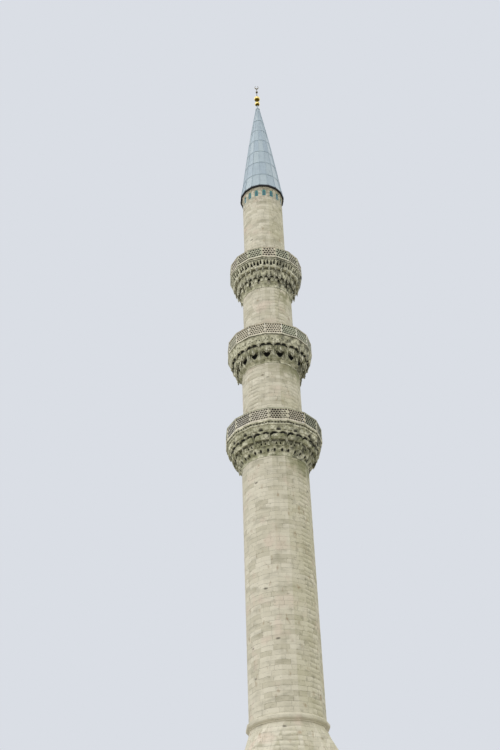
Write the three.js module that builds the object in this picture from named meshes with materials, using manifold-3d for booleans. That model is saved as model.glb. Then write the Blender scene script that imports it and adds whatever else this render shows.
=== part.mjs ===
// A tall stone minaret with three galleries, modelled at half its real size.
// Millimetres, +Z up. The origin is on the ground, on the axis of the tower.
// The tower has sixteen sides with a face on each axis, and its doors are on the faces towards -Y.

import * as THREE from 'three';
import { mergeVertices } from 'three/addons/utils/BufferGeometryUtils.js';
import Module from 'manifold-3d';

const wasm = await Module();
wasm.setup();

// Plan of the tower
const SIDES = 16;
const FACE_ANGLE = (2 * Math.PI) / SIDES;
const APOTHEM = Math.cos(FACE_ANGLE / 2);
const FRONT_ANGLE = -Math.PI / 2;
const SEAT_GAP = 0.3;

// Square base
const BASE_HALF = 1750;
const BASE_WALL = 400;
const PLINTH_PROUD = 60;
const PLINTH_TOP = 150;
const BASE_TOP = 7600;
const BASE_CORNICE_TOP = 7850;
const BASE_CORNICE_PROUD = 90;
const BASE_CORNICE_LIP = 120;
const TRANSITION_TOP = 10000;
const LOWER_RING_TOP = 10250;
const LOWER_RING_PROUD = 90;

// Entrance in the base
const ENTRANCE_WIDTH = 480;
const ENTRANCE_HEIGHT = 1050;
const ENTRANCE_SURROUND = 110;
const ENTRANCE_REVEAL = 140;
const ENTRANCE_LEAF = 60;

// Shafts, from the lowest to the highest: radius at the arrises and thickness of the wall
const SHAFTS = [
  { name: 'main_shaft', radius: 1080, wall: 360 },
  { name: 'second_shaft', radius: 988, wall: 330 },
  { name: 'third_shaft', radius: 878, wall: 300 },
  { name: 'top_shaft', radius: 765, wall: 245 },
];

// Galleries: floor level, radius of the parapet, height of the plain neck under the corbels, and the
// three corbel tiers from the lowest up. A tier has the level of its foot, its radii at foot and
// head, its number of hollows, and how far the first one is turned from the middle of a face, as a
// share of the face.
const GALLERIES = [
  {
    floor: 19380,
    radius: 1592,
    neck: 180,
    tiers: [
      { foot: 18530, footRadius: 1170, headRadius: 1300, niches: 16, turn: 0 },
      { foot: 18800, footRadius: 1345, headRadius: 1425, niches: 32, turn: 0.25 },
      { foot: 19000, footRadius: 1460, headRadius: 1557, niches: 32, turn: 0.25 },
    ],
  },
  {
    floor: 22995,
    radius: 1476,
    neck: 120,
    tiers: [
      { foot: 22220, footRadius: 1100, headRadius: 1150, niches: 16, turn: 0.5 },
      { foot: 22455, footRadius: 1235, headRadius: 1290, niches: 16, turn: 0 },
      { foot: 22670, footRadius: 1370, headRadius: 1440, niches: 32, turn: 0 },
    ],
  },
  {
    floor: 26670,
    radius: 1334,
    neck: 126,
    tiers: [
      { foot: 25715, footRadius: 930, headRadius: 975, niches: 16, turn: 0 },
      { foot: 26000, footRadius: 1070, headRadius: 1105, niches: 16, turn: 0 },
      { foot: 26285, footRadius: 1205, headRadius: 1319, niches: 32, turn: 0.25 },
    ],
  },
];
const TIER_NAMES = ['lower', 'middle', 'upper'];
const FLOOR_THICKNESS = 90;
const FLOOR_EDGE = 40;

// Corbel hollows: how deep they are, where their head and lip lie in the tier's height, and how far
// the neck stands out from the shaft
const NICHE_SINK = 45;
const NICHE_HEAD = 0.45;
const NICHE_LIP = 0.75;
const NECK_PROUD = 12;

// Parapets
const PARAPET_HEIGHT = 475;
const LOWER_RAIL = 50;
const TOP_RAIL = 45;
const RAIL_DEPTH = 72;
const PANEL_SETBACK = 18;
const POST_WIDTH = 44;
const POST_SETBACK = 3;

// Doors on the galleries, against the width of the face that they stand in
const DOOR_SHARE = 0.88;
const SURROUND_SHARE = 1.38;
const DOOR_HEIGHT = 860;
const SURROUND_HEIGHT = 950;
const SURROUND_PROUD = 34;
const DOOR_REVEAL = 70;
const DOOR_LEAF = 40;

// Head of the tower
const FRIEZE_BOTTOM = 30370;
const FRIEZE_TOP = 30780;
const CORNICE_TOP = 30850;
const FASCIA_TOP = 30925;
const TILE_BOTTOM = 30415;
const TILE_TOP = 30757;
const TILE_WIDTH = 150;
const TILE_RECESS = 18;
const CORNICE_RADIUS = 800;
const FASCIA_RADIUS = 859;

// Lead cone, slightly full: radius and level from the eave to the tip
const CONE_OUTLINE = [
  [845, FASCIA_TOP],
  [762, 31430],
  [615, 32640],
  [450, 33907],
  [312, 34900],
  [171, 35813],
  [78, 36384],
];
const CONE_SHELL = 60;
const CONE_VOID_TOP = 35400;

// Gilded finial: centre level and radius of each ball
const LOWER_BALL = { level: 36808, radius: 106 };
const UPPER_BALL = { level: 37142, radius: 126 };
const SMALL_BALL = { level: 37597, radius: 51 };
const NECK_RADIUS = 26;
const COLLAR_RADIUS = 96;
const COLLAR_WAIST = 39;
const COLLAR_STEP = 26;
const COLLAR_TOP = 130;
const BALL_STEPS = 8;
const CRESCENT_BOTTOM = 37800;
const CRESCENT_HALF_HEIGHT = 106;
const CRESCENT_HALF_WIDTH = 82;
const CRESCENT_THICKNESS = 24;
const CRESCENT_HORN_SHIFT = 26;
const CRESCENT_FOOT = 16;
const TOP = 38000;

const FINISHES = {
  limestone: { color: 0xcdc5ad, roughness: 0.85, metalness: 0 },
  weatheredLimestone: { color: 0xa8a284, roughness: 0.9, metalness: 0 },
  marble: { color: 0xd8d4c4, roughness: 0.6, metalness: 0 },
  wood: { color: 0x4f4536, roughness: 0.7, metalness: 0 },
  lead: { color: 0x8d9aa5, roughness: 0.55, metalness: 0.3 },
  darkLead: { color: 0x35383a, roughness: 0.6, metalness: 0.3 },
  gilding: { color: 0xc99a2c, roughness: 0.3, metalness: 1 },
};

const minaret = new THREE.Group();

function addPiece(name, geometry, finish) {
  const piece = new THREE.Mesh(geometry, new THREE.MeshStandardMaterial(FINISHES[finish]));
  piece.name = name;
  minaret.add(piece);
  return piece;
}

// Angles of the arrises, halfway between the axes and their neighbours
function arrises() {
  return Array.from({ length: SIDES }, (_, side) => (side + 0.5) * FACE_ANGLE);
}

// Distance from the axis to a regular polygon with the tower's sides, at any angle
function polygonRadius(radius, angle) {
  const offset = angle / FACE_ANGLE;
  const fromFaceCentre = (offset - Math.round(offset)) * FACE_ANGLE;
  return (radius * APOTHEM) / Math.cos(fromFaceCentre);
}

// Distance from the axis to a square with faces on the axes
function squareRadius(half, angle) {
  return half / Math.max(Math.abs(Math.cos(angle)), Math.abs(Math.sin(angle)));
}

// A closed ring. sectionAt gives its section at an angle, as [radius, level] points that run up the
// outside and down the inside, with the same number of points at every angle.
function facetedRing(angles, sectionAt) {
  const sections = angles.map(sectionAt);
  const sectionSize = sections[0].length;
  const positions = [];
  angles.forEach((angle, place) => {
    sections[place].forEach(([radius, level]) => {
      positions.push(radius * Math.cos(angle), radius * Math.sin(angle), level);
    });
  });
  const faces = [];
  angles.forEach((_, place) => {
    const here = place * sectionSize;
    const next = ((place + 1) % angles.length) * sectionSize;
    for (let low = 0; low < sectionSize; low += 1) {
      const high = (low + 1) % sectionSize;
      faces.push(here + low, next + low, next + high);
      faces.push(here + low, next + high, here + high);
    }
  });
  const ring = new THREE.BufferGeometry();
  ring.setAttribute('position', new THREE.Float32BufferAttribute(positions, 3));
  ring.setIndex(faces);
  ring.computeVertexNormals();
  return ring;
}

// A plain sixteen-sided ring with the same section all round
function shaftRing(section) {
  return facetedRing(arrises(), () => section);
}

// A ring of four walls with the same section all round, its radii given as half widths
function squareRing(section) {
  const corners = [0, 1, 2, 3].map((corner) => (corner + 0.5) * (Math.PI / 2));
  return facetedRing(corners, (angle) => section.map(([half, level]) => [squareRadius(half, angle), level]));
}

// A solid turned about the tower's axis from an outline of [radius, level] points
function turned(outline, segments = SIDES) {
  const points = outline.map(([radius, level]) => new THREE.Vector2(radius, level));
  const solid = new THREE.LatheGeometry(points, segments, FACE_ANGLE / 2);
  solid.rotateX(Math.PI / 2);
  return solid;
}

// A box between two corners
function block(low, high) {
  const size = high.map((value, axis) => value - low[axis]);
  const centre = high.map((value, axis) => (value + low[axis]) / 2);
  return new THREE.BoxGeometry(...size).translate(...centre);
}

function toManifold(geometry) {
  const bare = geometry.clone();
  bare.deleteAttribute('normal');
  bare.deleteAttribute('uv');
  const merged = mergeVertices(bare);
  return new wasm.Manifold(new wasm.Mesh({
    numProp: 3,
    vertProperties: new Float32Array(merged.attributes.position.array),
    triVerts: new Uint32Array(merged.index.array),
  }));
}

function fromManifold(solid) {
  const mesh = solid.getMesh();
  const geometry = new THREE.BufferGeometry();
  geometry.setAttribute('position', new THREE.Float32BufferAttribute(mesh.vertProperties, 3));
  geometry.setIndex(Array.from(mesh.triVerts));
  geometry.computeVertexNormals();
  return geometry;
}

function joinAndCut(body, additions, cuts) {
  let solid = toManifold(body);
  additions.forEach((addition) => {
    solid = solid.add(toManifold(addition));
  });
  cuts.forEach((cut) => {
    solid = solid.subtract(toManifold(cut));
  });
  return fromManifold(solid);
}

// Square base: plinth, walls split beside and over the entrance, and a cornice
function addBase() {
  const outer = BASE_HALF;
  const inner = BASE_HALF - BASE_WALL;
  const plinth = BASE_HALF + PLINTH_PROUD;
  const half = ENTRANCE_WIDTH / 2;
  const head = PLINTH_TOP + ENTRANCE_HEIGHT;
  addPiece('plinth', block([-plinth, -plinth, 0], [plinth, plinth, PLINTH_TOP]), 'limestone');
  const walls = {
    base_wall_left: [[-outer, -outer, PLINTH_TOP], [-inner, outer, BASE_TOP]],
    base_wall_right: [[inner, -outer, PLINTH_TOP], [outer, outer, BASE_TOP]],
    base_wall_back: [[-inner, inner, PLINTH_TOP], [inner, outer, BASE_TOP]],
    base_wall_front_left: [[-inner, -outer, PLINTH_TOP], [-half, -inner, BASE_TOP]],
    base_wall_front_right: [[half, -outer, PLINTH_TOP], [inner, -inner, BASE_TOP]],
    base_wall_over_door: [[-half, -outer, head], [half, -inner, BASE_TOP]],
  };
  Object.entries(walls).forEach(([name, [low, high]]) => addPiece(name, block(low, high), 'limestone'));
  addPiece('base_cornice', squareRing([
    [outer, BASE_TOP],
    [outer + BASE_CORNICE_PROUD, BASE_CORNICE_TOP - BASE_CORNICE_LIP],
    [outer + BASE_CORNICE_PROUD, BASE_CORNICE_TOP],
    [inner, BASE_CORNICE_TOP],
    [inner, BASE_TOP],
  ]), 'limestone');
}

// Entrance: a leaf set back in the wall, and a stone surround that stands on the plinth
function addEntrance() {
  const half = ENTRANCE_WIDTH / 2;
  const head = PLINTH_TOP + ENTRANCE_HEIGHT;
  const front = -BASE_HALF + ENTRANCE_REVEAL;
  addPiece('base_door', block(
    [-half + SEAT_GAP, front, PLINTH_TOP],
    [half - SEAT_GAP, front + ENTRANCE_LEAF, head - SEAT_GAP],
  ), 'wood');
  const surround = new THREE.Shape();
  surround.moveTo(-half, PLINTH_TOP);
  surround.lineTo(-half, head);
  surround.lineTo(half, head);
  surround.lineTo(half, PLINTH_TOP);
  surround.lineTo(half + ENTRANCE_SURROUND, PLINTH_TOP);
  surround.lineTo(half + ENTRANCE_SURROUND, head + ENTRANCE_SURROUND);
  surround.lineTo(-half - ENTRANCE_SURROUND, head + ENTRANCE_SURROUND);
  surround.lineTo(-half - ENTRANCE_SURROUND, PLINTH_TOP);
  const depth = PLINTH_PROUD - SEAT_GAP;
  const frame = new THREE.ExtrudeGeometry(surround, { depth, bevelEnabled: false });
  frame.rotateX(Math.PI / 2);
  frame.translate(0, -BASE_HALF - SEAT_GAP, 0);
  addPiece('base_door_surround', frame, 'limestone');
}

// From the square of the base to the sixteen sides of the shaft, with a triangle at each corner
function addTransition() {
  const diagonals = [0, 1, 2, 3].map((corner) => (corner + 0.5) * (Math.PI / 2));
  const angles = [...arrises(), ...diagonals].sort((first, second) => first - second);
  const { radius, wall } = SHAFTS[0];
  addPiece('transition', facetedRing(angles, (angle) => [
    [squareRadius(BASE_HALF, angle), BASE_CORNICE_TOP],
    [polygonRadius(radius, angle), TRANSITION_TOP],
    [polygonRadius(radius - wall, angle), TRANSITION_TOP],
    [squareRadius(BASE_HALF - BASE_WALL, angle), BASE_CORNICE_TOP],
  ]), 'limestone');
  const middle = (TRANSITION_TOP + LOWER_RING_TOP) / 2;
  addPiece('lower_ring', shaftRing([
    [radius, TRANSITION_TOP],
    [radius + LOWER_RING_PROUD, (TRANSITION_TOP + middle) / 2],
    [radius + LOWER_RING_PROUD, (LOWER_RING_TOP + middle) / 2],
    [radius, LOWER_RING_TOP],
    [radius - wall, LOWER_RING_TOP],
    [radius - wall, TRANSITION_TOP],
  ]), 'limestone');
}

// A hollow shaft. One that rises from a gallery has a doorway with a raised surround.
function addShaft({ name, radius, wall }, bottom, top, hasDoor) {
  const shell = shaftRing([[radius, bottom], [radius, top], [radius - wall, top], [radius - wall, bottom]]);
  if (!hasDoor) {
    addPiece(name, shell, 'limestone');
    return;
  }
  const face = 2 * radius * Math.sin(FACE_ANGLE / 2);
  const front = radius * APOTHEM;
  const doorHalf = (face * DOOR_SHARE) / 2;
  const surroundHalf = (face * SURROUND_SHARE) / 2;
  const surround = block(
    [-surroundHalf, -front - SURROUND_PROUD, bottom],
    [surroundHalf, -front + wall / 2, bottom + SURROUND_HEIGHT],
  );
  const doorway = block(
    [-doorHalf, -radius - wall, bottom - wall],
    [doorHalf, -front + wall + SURROUND_PROUD, bottom + DOOR_HEIGHT],
  );
  addPiece(name, joinAndCut(shell, [surround], [doorway]), 'limestone');
  addPiece(`${name}_door`, block(
    [-doorHalf + SEAT_GAP, -front + DOOR_REVEAL, bottom],
    [doorHalf - SEAT_GAP, -front + DOOR_REVEAL + DOOR_LEAF, bottom + DOOR_HEIGHT - SEAT_GAP],
  ), 'wood');
}

// One tier of corbels: a ring of hollows under a lip, each between two ribs. The lowest tier also
// has a plain neck that grows out of the shaft.
function corbelTier({ foot, footRadius, headRadius, niches, turn }, top, shaftRadius, neck = 0) {
  const steps = niches * 2;
  const rise = top - foot;
  const angles = Array.from({ length: steps }, (_, step) => turn * FACE_ANGLE + (step * 2 * Math.PI) / steps);
  let step = 0;
  return facetedRing(angles, (angle) => {
    const sink = step % 2 === 0 ? NICHE_SINK : 0;
    step += 1;
    const at = (radius) => polygonRadius(radius, angle);
    const outerAt = (share) => footRadius + (headRadius - footRadius) * share;
    const neckRing = [
      [at(shaftRadius + NECK_PROUD), foot - neck],
      [at(shaftRadius + NECK_PROUD), foot - neck / 2],
    ];
    return [
      ...(neck > 0 ? neckRing : []),
      [at(footRadius) - sink, foot],
      [at(outerAt(NICHE_HEAD)) - sink, foot + rise * NICHE_HEAD],
      [at(outerAt(NICHE_LIP)), foot + rise * NICHE_LIP],
      [at(headRadius), top],
      [at(shaftRadius + SEAT_GAP), top],
      [at(shaftRadius + SEAT_GAP), foot - neck],
    ];
  });
}

// A parapet: rails above and below a panel that is set back, with a post on the outside of each arris
function parapet(radius, bottom) {
  const top = bottom + PARAPET_HEIGHT;
  const face = radius - PANEL_SETBACK;
  const ring = shaftRing([
    [radius, bottom],
    [radius, bottom + LOWER_RAIL],
    [face, bottom + LOWER_RAIL],
    [face, top - TOP_RAIL],
    [radius, top - TOP_RAIL],
    [radius, top],
    [radius - RAIL_DEPTH, top],
    [radius - RAIL_DEPTH, bottom],
  ]);
  const posts = arrises().map((angle) => block(
    [radius - RAIL_DEPTH / 2, -POST_WIDTH / 2, bottom + LOWER_RAIL / 2],
    [radius - POST_SETBACK, POST_WIDTH / 2, top - TOP_RAIL / 2],
  ).rotateZ(angle));
  return joinAndCut(ring, posts, []);
}

function addGallery(gallery, number) {
  const below = SHAFTS[number - 1];
  const above = SHAFTS[number];
  const { floor, radius, neck, tiers } = gallery;
  const underside = floor - FLOOR_THICKNESS;
  const tops = [...tiers.slice(1).map((tier) => tier.foot), underside];
  TIER_NAMES.forEach((name, place) => {
    const tierNeck = place === 0 ? neck : 0;
    const ring = corbelTier(tiers[place], tops[place], below.radius, tierNeck);
    addPiece(`gallery_${number}_corbel_${name}`, ring, 'weatheredLimestone');
  });
  const { headRadius } = tiers[tiers.length - 1];
  addPiece(`gallery_${number}_floor`, shaftRing([
    [headRadius, underside],
    [radius, floor - FLOOR_EDGE],
    [radius, floor],
    [above.radius - above.wall, floor],
    [above.radius - above.wall, underside],
  ]), 'limestone');
  addPiece(`gallery_${number}_parapet`, parapet(radius, floor), 'marble');
}

// Frieze with a sunk panel for the tiles on each face, then the stone cornice and the fascia of the eave
function addHead() {
  const { radius, wall } = SHAFTS[SHAFTS.length - 1];
  const inner = radius - wall;
  const ring = shaftRing([[radius, FRIEZE_BOTTOM], [radius, FRIEZE_TOP], [inner, FRIEZE_TOP], [inner, FRIEZE_BOTTOM]]);
  const face = radius * APOTHEM;
  const recesses = Array.from({ length: SIDES }, (_, side) => {
    const recess = block(
      [face - TILE_RECESS, -TILE_WIDTH / 2, TILE_BOTTOM],
      [face + TILE_RECESS, TILE_WIDTH / 2, TILE_TOP],
    );
    return recess.rotateZ(side * FACE_ANGLE);
  });
  addPiece('tile_frieze', joinAndCut(ring, [], recesses), 'limestone');
  addPiece('eave_cornice', shaftRing([
    [radius, FRIEZE_TOP],
    [CORNICE_RADIUS, (FRIEZE_TOP + CORNICE_TOP) / 2],
    [CORNICE_RADIUS, CORNICE_TOP],
    [inner, CORNICE_TOP],
    [inner, FRIEZE_TOP],
  ]), 'limestone');
  addPiece('eave_fascia', shaftRing([
    [FASCIA_RADIUS, CORNICE_TOP],
    [FASCIA_RADIUS, FASCIA_TOP],
    [inner, FASCIA_TOP],
    [inner, CORNICE_TOP],
  ]), 'darkLead');
}

// The cone is a shell, open below and solid near its tip
function addCone() {
  const [eaveRadius, eaveLevel] = CONE_OUTLINE[0];
  const inside = [
    [0, CONE_VOID_TOP],
    [eaveRadius - CONE_SHELL, eaveLevel],
  ];
  const tipLevel = CONE_OUTLINE[CONE_OUTLINE.length - 1][1];
  addPiece('lead_cone', turned([...inside, ...CONE_OUTLINE, [0, tipLevel]]), 'lead');
}

// A ball between two levels on the axis, cut flat where it meets its necks
function ballOutline({ level, radius }, bottom, top, neck) {
  const outline = [[0, bottom], [neck, bottom]];
  const from = -Math.acos(neck / radius);
  for (let step = 0; step <= BALL_STEPS; step += 1) {
    const angle = from * (1 - (2 * step) / BALL_STEPS);
    outline.push([radius * Math.cos(angle), level + radius * Math.sin(angle)]);
  }
  outline.push([neck, top], [0, top]);
  return outline;
}

function addFinial() {
  const tipLevel = CONE_OUTLINE[CONE_OUTLINE.length - 1][1];
  const tipRadius = CONE_OUTLINE[CONE_OUTLINE.length - 1][0];
  const lowerJoint = LOWER_BALL.level - LOWER_BALL.radius;
  const ballJoint = (LOWER_BALL.level + LOWER_BALL.radius + UPPER_BALL.level - UPPER_BALL.radius) / 2;
  const upperJoint = UPPER_BALL.level + UPPER_BALL.radius + NECK_RADIUS;
  const smallJoint = CRESCENT_BOTTOM - CRESCENT_FOOT;
  addPiece('finial_collar', turned([
    [0, tipLevel],
    [tipRadius, tipLevel],
    [COLLAR_RADIUS, tipLevel + COLLAR_STEP],
    [COLLAR_RADIUS, tipLevel + 2 * COLLAR_STEP],
    [COLLAR_WAIST, tipLevel + COLLAR_TOP],
    [NECK_RADIUS, lowerJoint],
    [0, lowerJoint],
  ]), 'gilding');
  addPiece('finial_lower_ball', turned(ballOutline(LOWER_BALL, lowerJoint, ballJoint, NECK_RADIUS)), 'gilding');
  addPiece('finial_upper_ball', turned(ballOutline(UPPER_BALL, ballJoint, upperJoint, NECK_RADIUS)), 'gilding');
  addPiece('finial_small_ball', turned(ballOutline(SMALL_BALL, upperJoint, smallJoint, NECK_RADIUS / 2)), 'gilding');
  addPiece('finial_crescent', crescent(smallJoint), 'gilding');
}

// A crescent with its horns up: a disc cut by a smaller disc that is set higher, on a small foot
function crescent(bottom) {
  const centre = CRESCENT_BOTTOM + CRESCENT_HALF_HEIGHT;
  const hornAngle = Math.asin((TOP - centre) / CRESCENT_HALF_HEIGHT);
  const hornX = CRESCENT_HALF_HEIGHT * Math.cos(hornAngle);
  const hollowCentre = centre + CRESCENT_HORN_SHIFT;
  const hollowRadius = Math.hypot(hornX, TOP - hollowCentre);
  const hollowAngle = Math.atan2(TOP - hollowCentre, hornX);
  const outline = new THREE.Shape();
  outline.absarc(0, centre, CRESCENT_HALF_HEIGHT, hornAngle, Math.PI - hornAngle, true);
  outline.absarc(0, hollowCentre, hollowRadius, Math.PI - hollowAngle, hollowAngle, false);
  const solid = new THREE.ExtrudeGeometry(outline, {
    depth: CRESCENT_THICKNESS,
    bevelEnabled: false,
    curveSegments: SIDES,
  });
  solid.translate(0, 0, -CRESCENT_THICKNESS / 2);
  solid.scale(CRESCENT_HALF_WIDTH / CRESCENT_HALF_HEIGHT, 1, 1);
  solid.rotateX(Math.PI / 2);
  const foot = block(
    [-CRESCENT_FOOT, -CRESCENT_THICKNESS / 2, bottom],
    [CRESCENT_FOOT, CRESCENT_THICKNESS / 2, CRESCENT_BOTTOM + CRESCENT_FOOT / 2],
  );
  return joinAndCut(solid, [foot], []);
}

addBase();
addEntrance();
addTransition();
SHAFTS.forEach((shaft, place) => {
  const bottom = place === 0 ? LOWER_RING_TOP : GALLERIES[place - 1].floor;
  const top = place < GALLERIES.length ? GALLERIES[place].floor - FLOOR_THICKNESS : FRIEZE_BOTTOM;
  addShaft(shaft, bottom, top, place > 0);
});
GALLERIES.forEach((gallery, place) => addGallery(gallery, place + 1));
addHead();
addCone();
addFinial();

export default minaret;
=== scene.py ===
# %% [markdown]
# # A stone minaret with three galleries
#
# The tower is a tall, slender prism of pale limestone. It is drawn here at half its real size, and
# Blender works in metres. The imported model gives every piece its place, and this script gives
# every piece its finish, its masonry and its carving.

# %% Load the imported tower
import math
import random

import bmesh
import bpy
from mathutils import Matrix, Vector


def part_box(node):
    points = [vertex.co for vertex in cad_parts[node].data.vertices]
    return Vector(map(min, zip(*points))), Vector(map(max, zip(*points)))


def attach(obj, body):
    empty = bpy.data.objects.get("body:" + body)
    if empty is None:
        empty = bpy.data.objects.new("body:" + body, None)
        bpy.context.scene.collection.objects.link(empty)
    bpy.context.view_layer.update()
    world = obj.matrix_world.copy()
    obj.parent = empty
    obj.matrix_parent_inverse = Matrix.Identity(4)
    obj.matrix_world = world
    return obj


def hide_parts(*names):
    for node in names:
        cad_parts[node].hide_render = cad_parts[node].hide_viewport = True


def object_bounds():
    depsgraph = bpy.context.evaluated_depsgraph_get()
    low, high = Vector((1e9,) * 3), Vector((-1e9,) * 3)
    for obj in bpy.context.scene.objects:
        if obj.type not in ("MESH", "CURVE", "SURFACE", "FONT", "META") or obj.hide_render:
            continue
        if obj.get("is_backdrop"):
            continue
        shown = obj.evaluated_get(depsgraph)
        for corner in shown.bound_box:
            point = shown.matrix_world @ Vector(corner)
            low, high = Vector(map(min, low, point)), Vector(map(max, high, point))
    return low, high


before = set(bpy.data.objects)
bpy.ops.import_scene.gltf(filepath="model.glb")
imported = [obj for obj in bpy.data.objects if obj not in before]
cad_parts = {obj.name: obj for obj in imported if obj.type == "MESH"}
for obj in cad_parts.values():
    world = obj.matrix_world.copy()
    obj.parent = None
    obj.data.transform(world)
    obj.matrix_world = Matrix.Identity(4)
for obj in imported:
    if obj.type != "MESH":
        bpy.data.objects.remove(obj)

MM = 0.001
cad_low, cad_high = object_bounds()
print(f"the tower is {cad_high.z - cad_low.z:.2f} m tall and {cad_high.x - cad_low.x:.2f} m wide")

# %% [markdown]
# ## The camera
#
# The tower is seen from the ground, well below the galleries, with the camera tipped up and turned
# a little to one side. Three angles describe that: how far it is pitched up, how far it is turned
# away from the tower, and how far it is rolled. A 50 mm lens gives the perspective. Blender could
# aim the camera with a constraint, but turns about known axes keep the roll, which a constraint
# would lose.

# %% Place the camera
CAMERA_AZIMUTH = -6.75
CAMERA_DISTANCE = 28.86
CAMERA_HEIGHT = 0.8
CAMERA_PITCH = 36.74
CAMERA_TURN = 1.41
CAMERA_ROLL = 1.96
CAMERA_LENS = 50
CAMERA_SENSOR = 36
CAMERA_REACH = 500

scene = bpy.context.scene
azimuth = math.radians(CAMERA_AZIMUTH)
camera_data = bpy.data.cameras.new("low_camera")
camera_data.lens = CAMERA_LENS
camera_data.sensor_width = CAMERA_SENSOR
camera_data.clip_end = CAMERA_REACH
camera = bpy.data.objects.new("low_camera", camera_data)
scene.collection.objects.link(camera)
camera.location = Vector((math.sin(azimuth), -math.cos(azimuth), 0)) * CAMERA_DISTANCE
camera.location.z = CAMERA_HEIGHT
aim = Matrix.Rotation(azimuth + math.radians(CAMERA_TURN), 3, "Z")
# An unturned camera looks straight down, so a right angle comes before the pitch.
aim = aim @ Matrix.Rotation(math.radians(90 + CAMERA_PITCH), 3, "X")
aim = aim @ Matrix.Rotation(math.radians(-CAMERA_ROLL), 3, "Z")
camera.rotation_euler = aim.to_euler()
scene.camera = camera
print(f"the camera stands {CAMERA_DISTANCE:.1f} m from the tower's axis")

# %% [markdown]
# ## Colours and nodes
#
# Colours are easy to judge as sRGB hex values, but shaders work in linear light, so one function
# turns the first into the second. Another adds a node, sets its values and links its inputs in one
# call, which keeps each material short enough to read at a glance. The shader's own index of
# refraction of 1.5 suits stone, glaze and oiled wood alike, so no material changes it.

# %% One function for colours and one for nodes
def linear(hex_colour):
    """A colour written as sRGB hex, turned to the linear light that shaders use."""
    channels = [int(hex_colour[place:place + 2], 16) / 255 for place in (1, 3, 5)]
    # The curve of the sRGB standard is straight near black and a power above.
    return [c / 12.92 if c <= 0.04045 else ((c + 0.055) / 1.055) ** 2.4 for c in channels] + [1]


def add_node(tree, kind, inputs=None, **settings):
    """Add a shader node. inputs maps a socket's name or number to a value or to another socket."""
    node = tree.nodes.new("ShaderNode" + kind)
    for name, value in settings.items():
        setattr(node, name, value)
    for name, value in (inputs or {}).items():
        socket = node.inputs[name]
        if isinstance(value, bpy.types.NodeSocket):
            tree.links.new(value, socket)
        else:
            socket.default_value = value
    return node


def blank_material(name, roughness, metallic=0.0):
    """A new material with only its Principled shader, and the node tree that holds it."""
    material = bpy.data.materials.new(name)
    material.use_nodes = True
    shader = material.node_tree.nodes["Principled BSDF"]
    shader.inputs["Roughness"].default_value = roughness
    shader.inputs["Metallic"].default_value = metallic
    print(f"material: {name}")
    return material, material.node_tree, shader


print(f"a grey of #808080 is {linear('#808080')[0]:.2f} of white in linear light")

# %% [markdown]
# ## Small tools for patterns
#
# Weathered stone is one colour laid over another many times: grain, stains, streaks, moss. Each
# layer needs a mask, a number from 0 to 1 that says how much of it shows. A mask is cloudy noise, a
# number stored on the mesh, the height above ground, or the way a face is turned, and its ends are
# kept soft. With its two ends swapped, the same mask is turned inside out. Noise is placed by
# Object coordinates, which are metres on the tower itself, so a spot has a real size.

# %% Masks
def scaled_place(tree, size, stretch):
    """Object coordinates counted in steps of a real size, which stretch draws out along an axis."""
    place = add_node(tree, "TexCoord").outputs["Object"]
    scale = [1 / (size * along) for along in stretch]
    return add_node(tree, "Mapping", {"Vector": place, "Scale": scale}).outputs[0]


def noise_mask(tree, size, low, high, stretch=(1, 1, 1), detail=4.0):
    """Cloudy noise as a mask that is 0 where the noise is low and 1 where it is high."""
    place = scaled_place(tree, size, stretch)
    noise = add_node(tree, "TexNoise", {"Vector": place, "Scale": 1.0, "Detail": detail}).outputs[0]
    mask = add_node(tree, "MapRange", {0: noise, 1: low, 2: high}, interpolation_type="SMOOTHSTEP")
    return mask.outputs[0]


def stored_mask(tree, name, low, high):
    """How far a number stored on the mesh, such as the tone of a block, lies between two values."""
    tone = add_node(tree, "Attribute", attribute_name=name).outputs["Fac"]
    mask = add_node(tree, "MapRange", {0: tone, 1: low, 2: high}, interpolation_type="SMOOTHSTEP")
    return mask.outputs[0]


def height_mask(tree, low, high, least=0.0, most=1.0):
    """How far a point of the tower lies between two levels, from the least to the most."""
    place = add_node(tree, "TexCoord").outputs["Object"]
    height = add_node(tree, "SeparateXYZ", {0: place}).outputs["Z"]
    mask = add_node(tree, "MapRange", {0: height, 1: low, 2: high, 3: least, 4: most},
                    interpolation_type="SMOOTHSTEP")
    return mask.outputs[0]


def facing_mask(tree, direction, low, high):
    """How far a face is turned towards a direction."""
    normal = add_node(tree, "NewGeometry").outputs["Normal"]
    facing = add_node(tree, "VectorMath", {0: normal, 1: direction}, operation="DOT_PRODUCT")
    mask = add_node(tree, "MapRange", {0: facing.outputs["Value"], 1: low, 2: high},
                    interpolation_type="SMOOTHSTEP")
    return mask.outputs[0]


# %% [markdown]
# A layer of colour shows where all of its masks lie, so they are multiplied. The relief of a
# surface is laid on in the same way, the coarser over the finer, and each has a real depth.

# %% Layers of colour and of relief
def laid_over(tree, below, above, *masks, share=1.0, blend="MIX"):
    """A colour laid over another where all the masks lie, at most as strong as its share."""
    strength = share
    for mask in masks:
        strength = add_node(tree, "Math", {0: mask, 1: strength}, operation="MULTIPLY").outputs[0]
    layer = add_node(tree, "Mix", {0: strength, 6: below, 7: above}, data_type="RGBA", blend_type=blend)
    return layer.outputs[2]


def roughen(tree, shader, *reliefs):
    """Bumps from pairs of a mask and its depth in metres, each added to the one before it."""
    normal = None
    for mask, depth in reliefs:
        bump = add_node(tree, "Bump", {"Height": mask, "Distance": depth})
        if normal:
            tree.links.new(normal, bump.inputs["Normal"])
        normal = bump.outputs[0]
    tree.links.new(normal, shader.inputs["Normal"])


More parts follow.
